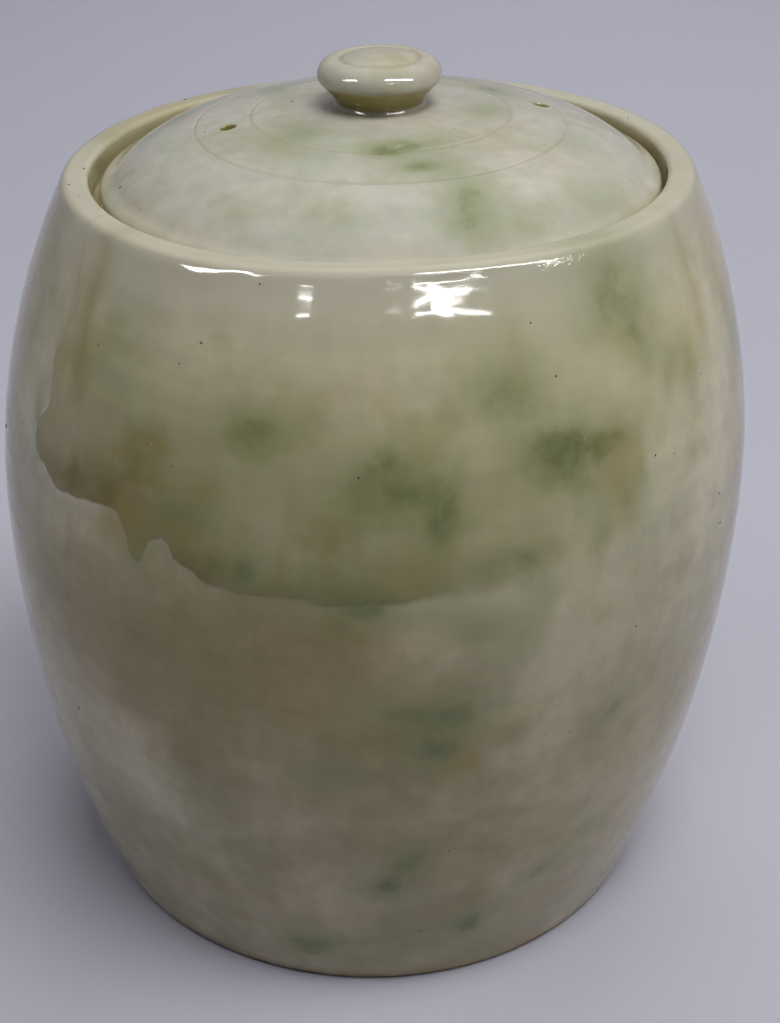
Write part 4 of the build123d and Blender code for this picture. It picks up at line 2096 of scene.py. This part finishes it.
@dataclass
class Studio:
    """Camera, background and lights. Nothing of it belongs to the jar."""

    camera_place: tuple[float, float, float] = (0.0, -0.52546, 0.43318)
    looking: tuple[float, float, float] = (0.00994, 0.86566, -0.50054)
    upwards: tuple[float, float, float] = (-0.01299, 0.50063, 0.86556)
    focal_length: float = 58.06
    sensor: float = 36.0
    floor_reach: float = 2.3
    sweep_radius: float = 0.8
    wall_height: float = 3.0
    room_colour: str = "#B4B6C3"
    room_light: float = 0.03
    light_target: tuple[float, float, float] = (0.0, 0.0, 0.15)

    def place_camera(self) -> None:
        """Puts the camera where the view of the jar is from."""
        lens = bpy.data.cameras.new("view")
        lens.lens, lens.sensor_width, lens.sensor_fit = self.focal_length, self.sensor, "AUTO"
        lens.clip_start = 0.01
        camera = bpy.data.objects.new("view", lens)
        forward, up = Vector(self.looking).normalized(), Vector(self.upwards)
        right = forward.cross(up).normalized()
        up = right.cross(forward)
        turn = Matrix((right, up, -forward)).transposed().to_4x4()
        camera.matrix_world = Matrix.Translation(self.camera_place) @ turn
        bpy.context.scene.collection.objects.link(camera)
        bpy.context.scene.camera = camera

    def hang_background(self, paper: PaperSweep) -> None:
        """Makes the floor, which turns up into a wall all round.

        Args:
            paper: the background's finish.
        """
        columns, bends = 96, 12
        profile = [(0.0, 0.0), (self.floor_reach, 0.0)]
        for n in range(1, bends + 1):
            turn = math.pi / 2 * n / bends
            profile.append(
                (
                    self.floor_reach + self.sweep_radius * math.sin(turn),
                    self.sweep_radius * (1 - math.cos(turn)),
                )
            )
        profile.append((self.floor_reach + self.sweep_radius, self.wall_height))
        shell = bmesh.new()
        middle = shell.verts.new((0, 0, 0))
        rings = []
        for radius, height in profile[1:]:
            turns = [math.tau * n / columns for n in range(columns)]
            spots = [(radius * math.sin(t), -radius * math.cos(t), height) for t in turns]
            rings.append([shell.verts.new(spot) for spot in spots])
        for n in range(columns):
            m = (n + 1) % columns
            shell.faces.new((middle, rings[0][n], rings[0][m]))
            for low, high in zip(rings, rings[1:]):
                shell.faces.new((low[n], high[n], high[m], low[m])).smooth = True
        mesh = bpy.data.meshes.new("background")
        shell.to_mesh(mesh)
        shell.free()
        mesh.materials.append(paper.material())
        sweep = bpy.data.objects.new("background", mesh)
        bpy.context.scene.collection.objects.link(sweep)

    def fill_room(self) -> None:
        """Gives the room a dim even light and a pale colour in view and in reflections."""
        world = bpy.data.worlds.new("room")
        bpy.context.scene.world = world
        world.use_nodes = True
        tree = world.node_tree
        tree.nodes.clear()
        path = add_node(tree, "ShaderNodeLightPath")
        shown = (path, "Is Camera Ray")
        for ray in ("Is Glossy Ray", "Is Transmission Ray"):
            shown = add_node(tree, MATHS, [shown, (path, ray)], operation="MAXIMUM")
        strength = add_node(
            tree, RAMP, {"Value": shown, "To Min": self.room_light, "To Max": 1.0}
        )
        light = add_node(
            tree, "ShaderNodeBackground",
            {"Color": linear(self.room_colour), "Strength": strength},
        )
        add_node(tree, "ShaderNodeOutputWorld", {"Surface": light})

    def build(self) -> None:
        """Sets up camera, background, room and lights."""
        self.place_camera()
        self.hang_background(PaperSweep())
        self.fill_room()
        for light in LIGHTS:
            light.build(Vector(self.light_target))
        bpy.context.scene.view_settings.view_transform = "Standard"
        log.info("studio: %d lights", len(LIGHTS))


JAR_GLAZE = StonewareGlaze("grey_cream_stoneware_glaze", warm="#C8BFA4", cool="#BDB99E")
LID_GLAZE = StonewareGlaze("cream_stoneware_glaze", warm="#BAB4A6", cool="#B1B1A2")

WALL_SPECKS = (
    (-75, 179, 0.8), (-50, 99, 0.7), (-26, 241, 0.5), (59, 176, 0.5), (60, 165, 0.6),
    (42, 203, 0.4), (9, 31, 0.45), (35, 64, 0.4), (-14, 12, 0.4), (-32, 210, 0.4),
    (-28, 207, 0.3), (-2, 211, 0.35), (26, 235, 0.35),
)
LID_SPECKS = (
    (-73, 260, 0.6), (-106, 279, 0.5), (-170, 276, 0.6), (48, 262, 0.5),
)


def main() -> None:
    """Builds the studio, the jar, its lid and its knob, and dresses them."""
    logging.basicConfig(level=logging.INFO, format="%(name)s: %(message)s")
    Studio().build()
    turned, scattered = turned_form_tree(), scattered_specks_tree()
    lean, lid_lean = Lean(), Lean(back=0.6, swell=0.0)
    jar = JarBody(
        "jar_body", "jar", "jar_glaze", JAR_GLAZE, lean, columns=360,
        out_of_round=0.0015, ring_depth=0.05, ring_spacing=10.5, seed=3.0,
    ).build(turned)
    lid = Lid(
        "lid", "lid", "lid_glaze", LID_GLAZE, lid_lean, columns=384,
        seed=8.0, ripple_depth=0.04, ripple_size=18.0,
    ).build(turned)
    Knob(
        "lid_knob", "lid", "lid_glaze", LID_GLAZE, lid_lean, columns=160,
        seed=5.0, ripple_depth=0.04, ripple_size=7.0,
    ).build(turned)
    iron = MeltedIron().material()
    Specks(jar, "jar", "jar_glaze", 170, 41, 8.0, WALL_SPECKS, largest=0.52).build(scattered, iron)
    Specks(lid, "lid", "lid_glaze", 22, 42, 259.0, LID_SPECKS).build(scattered, iron)


if __name__ == "__main__":
    main()
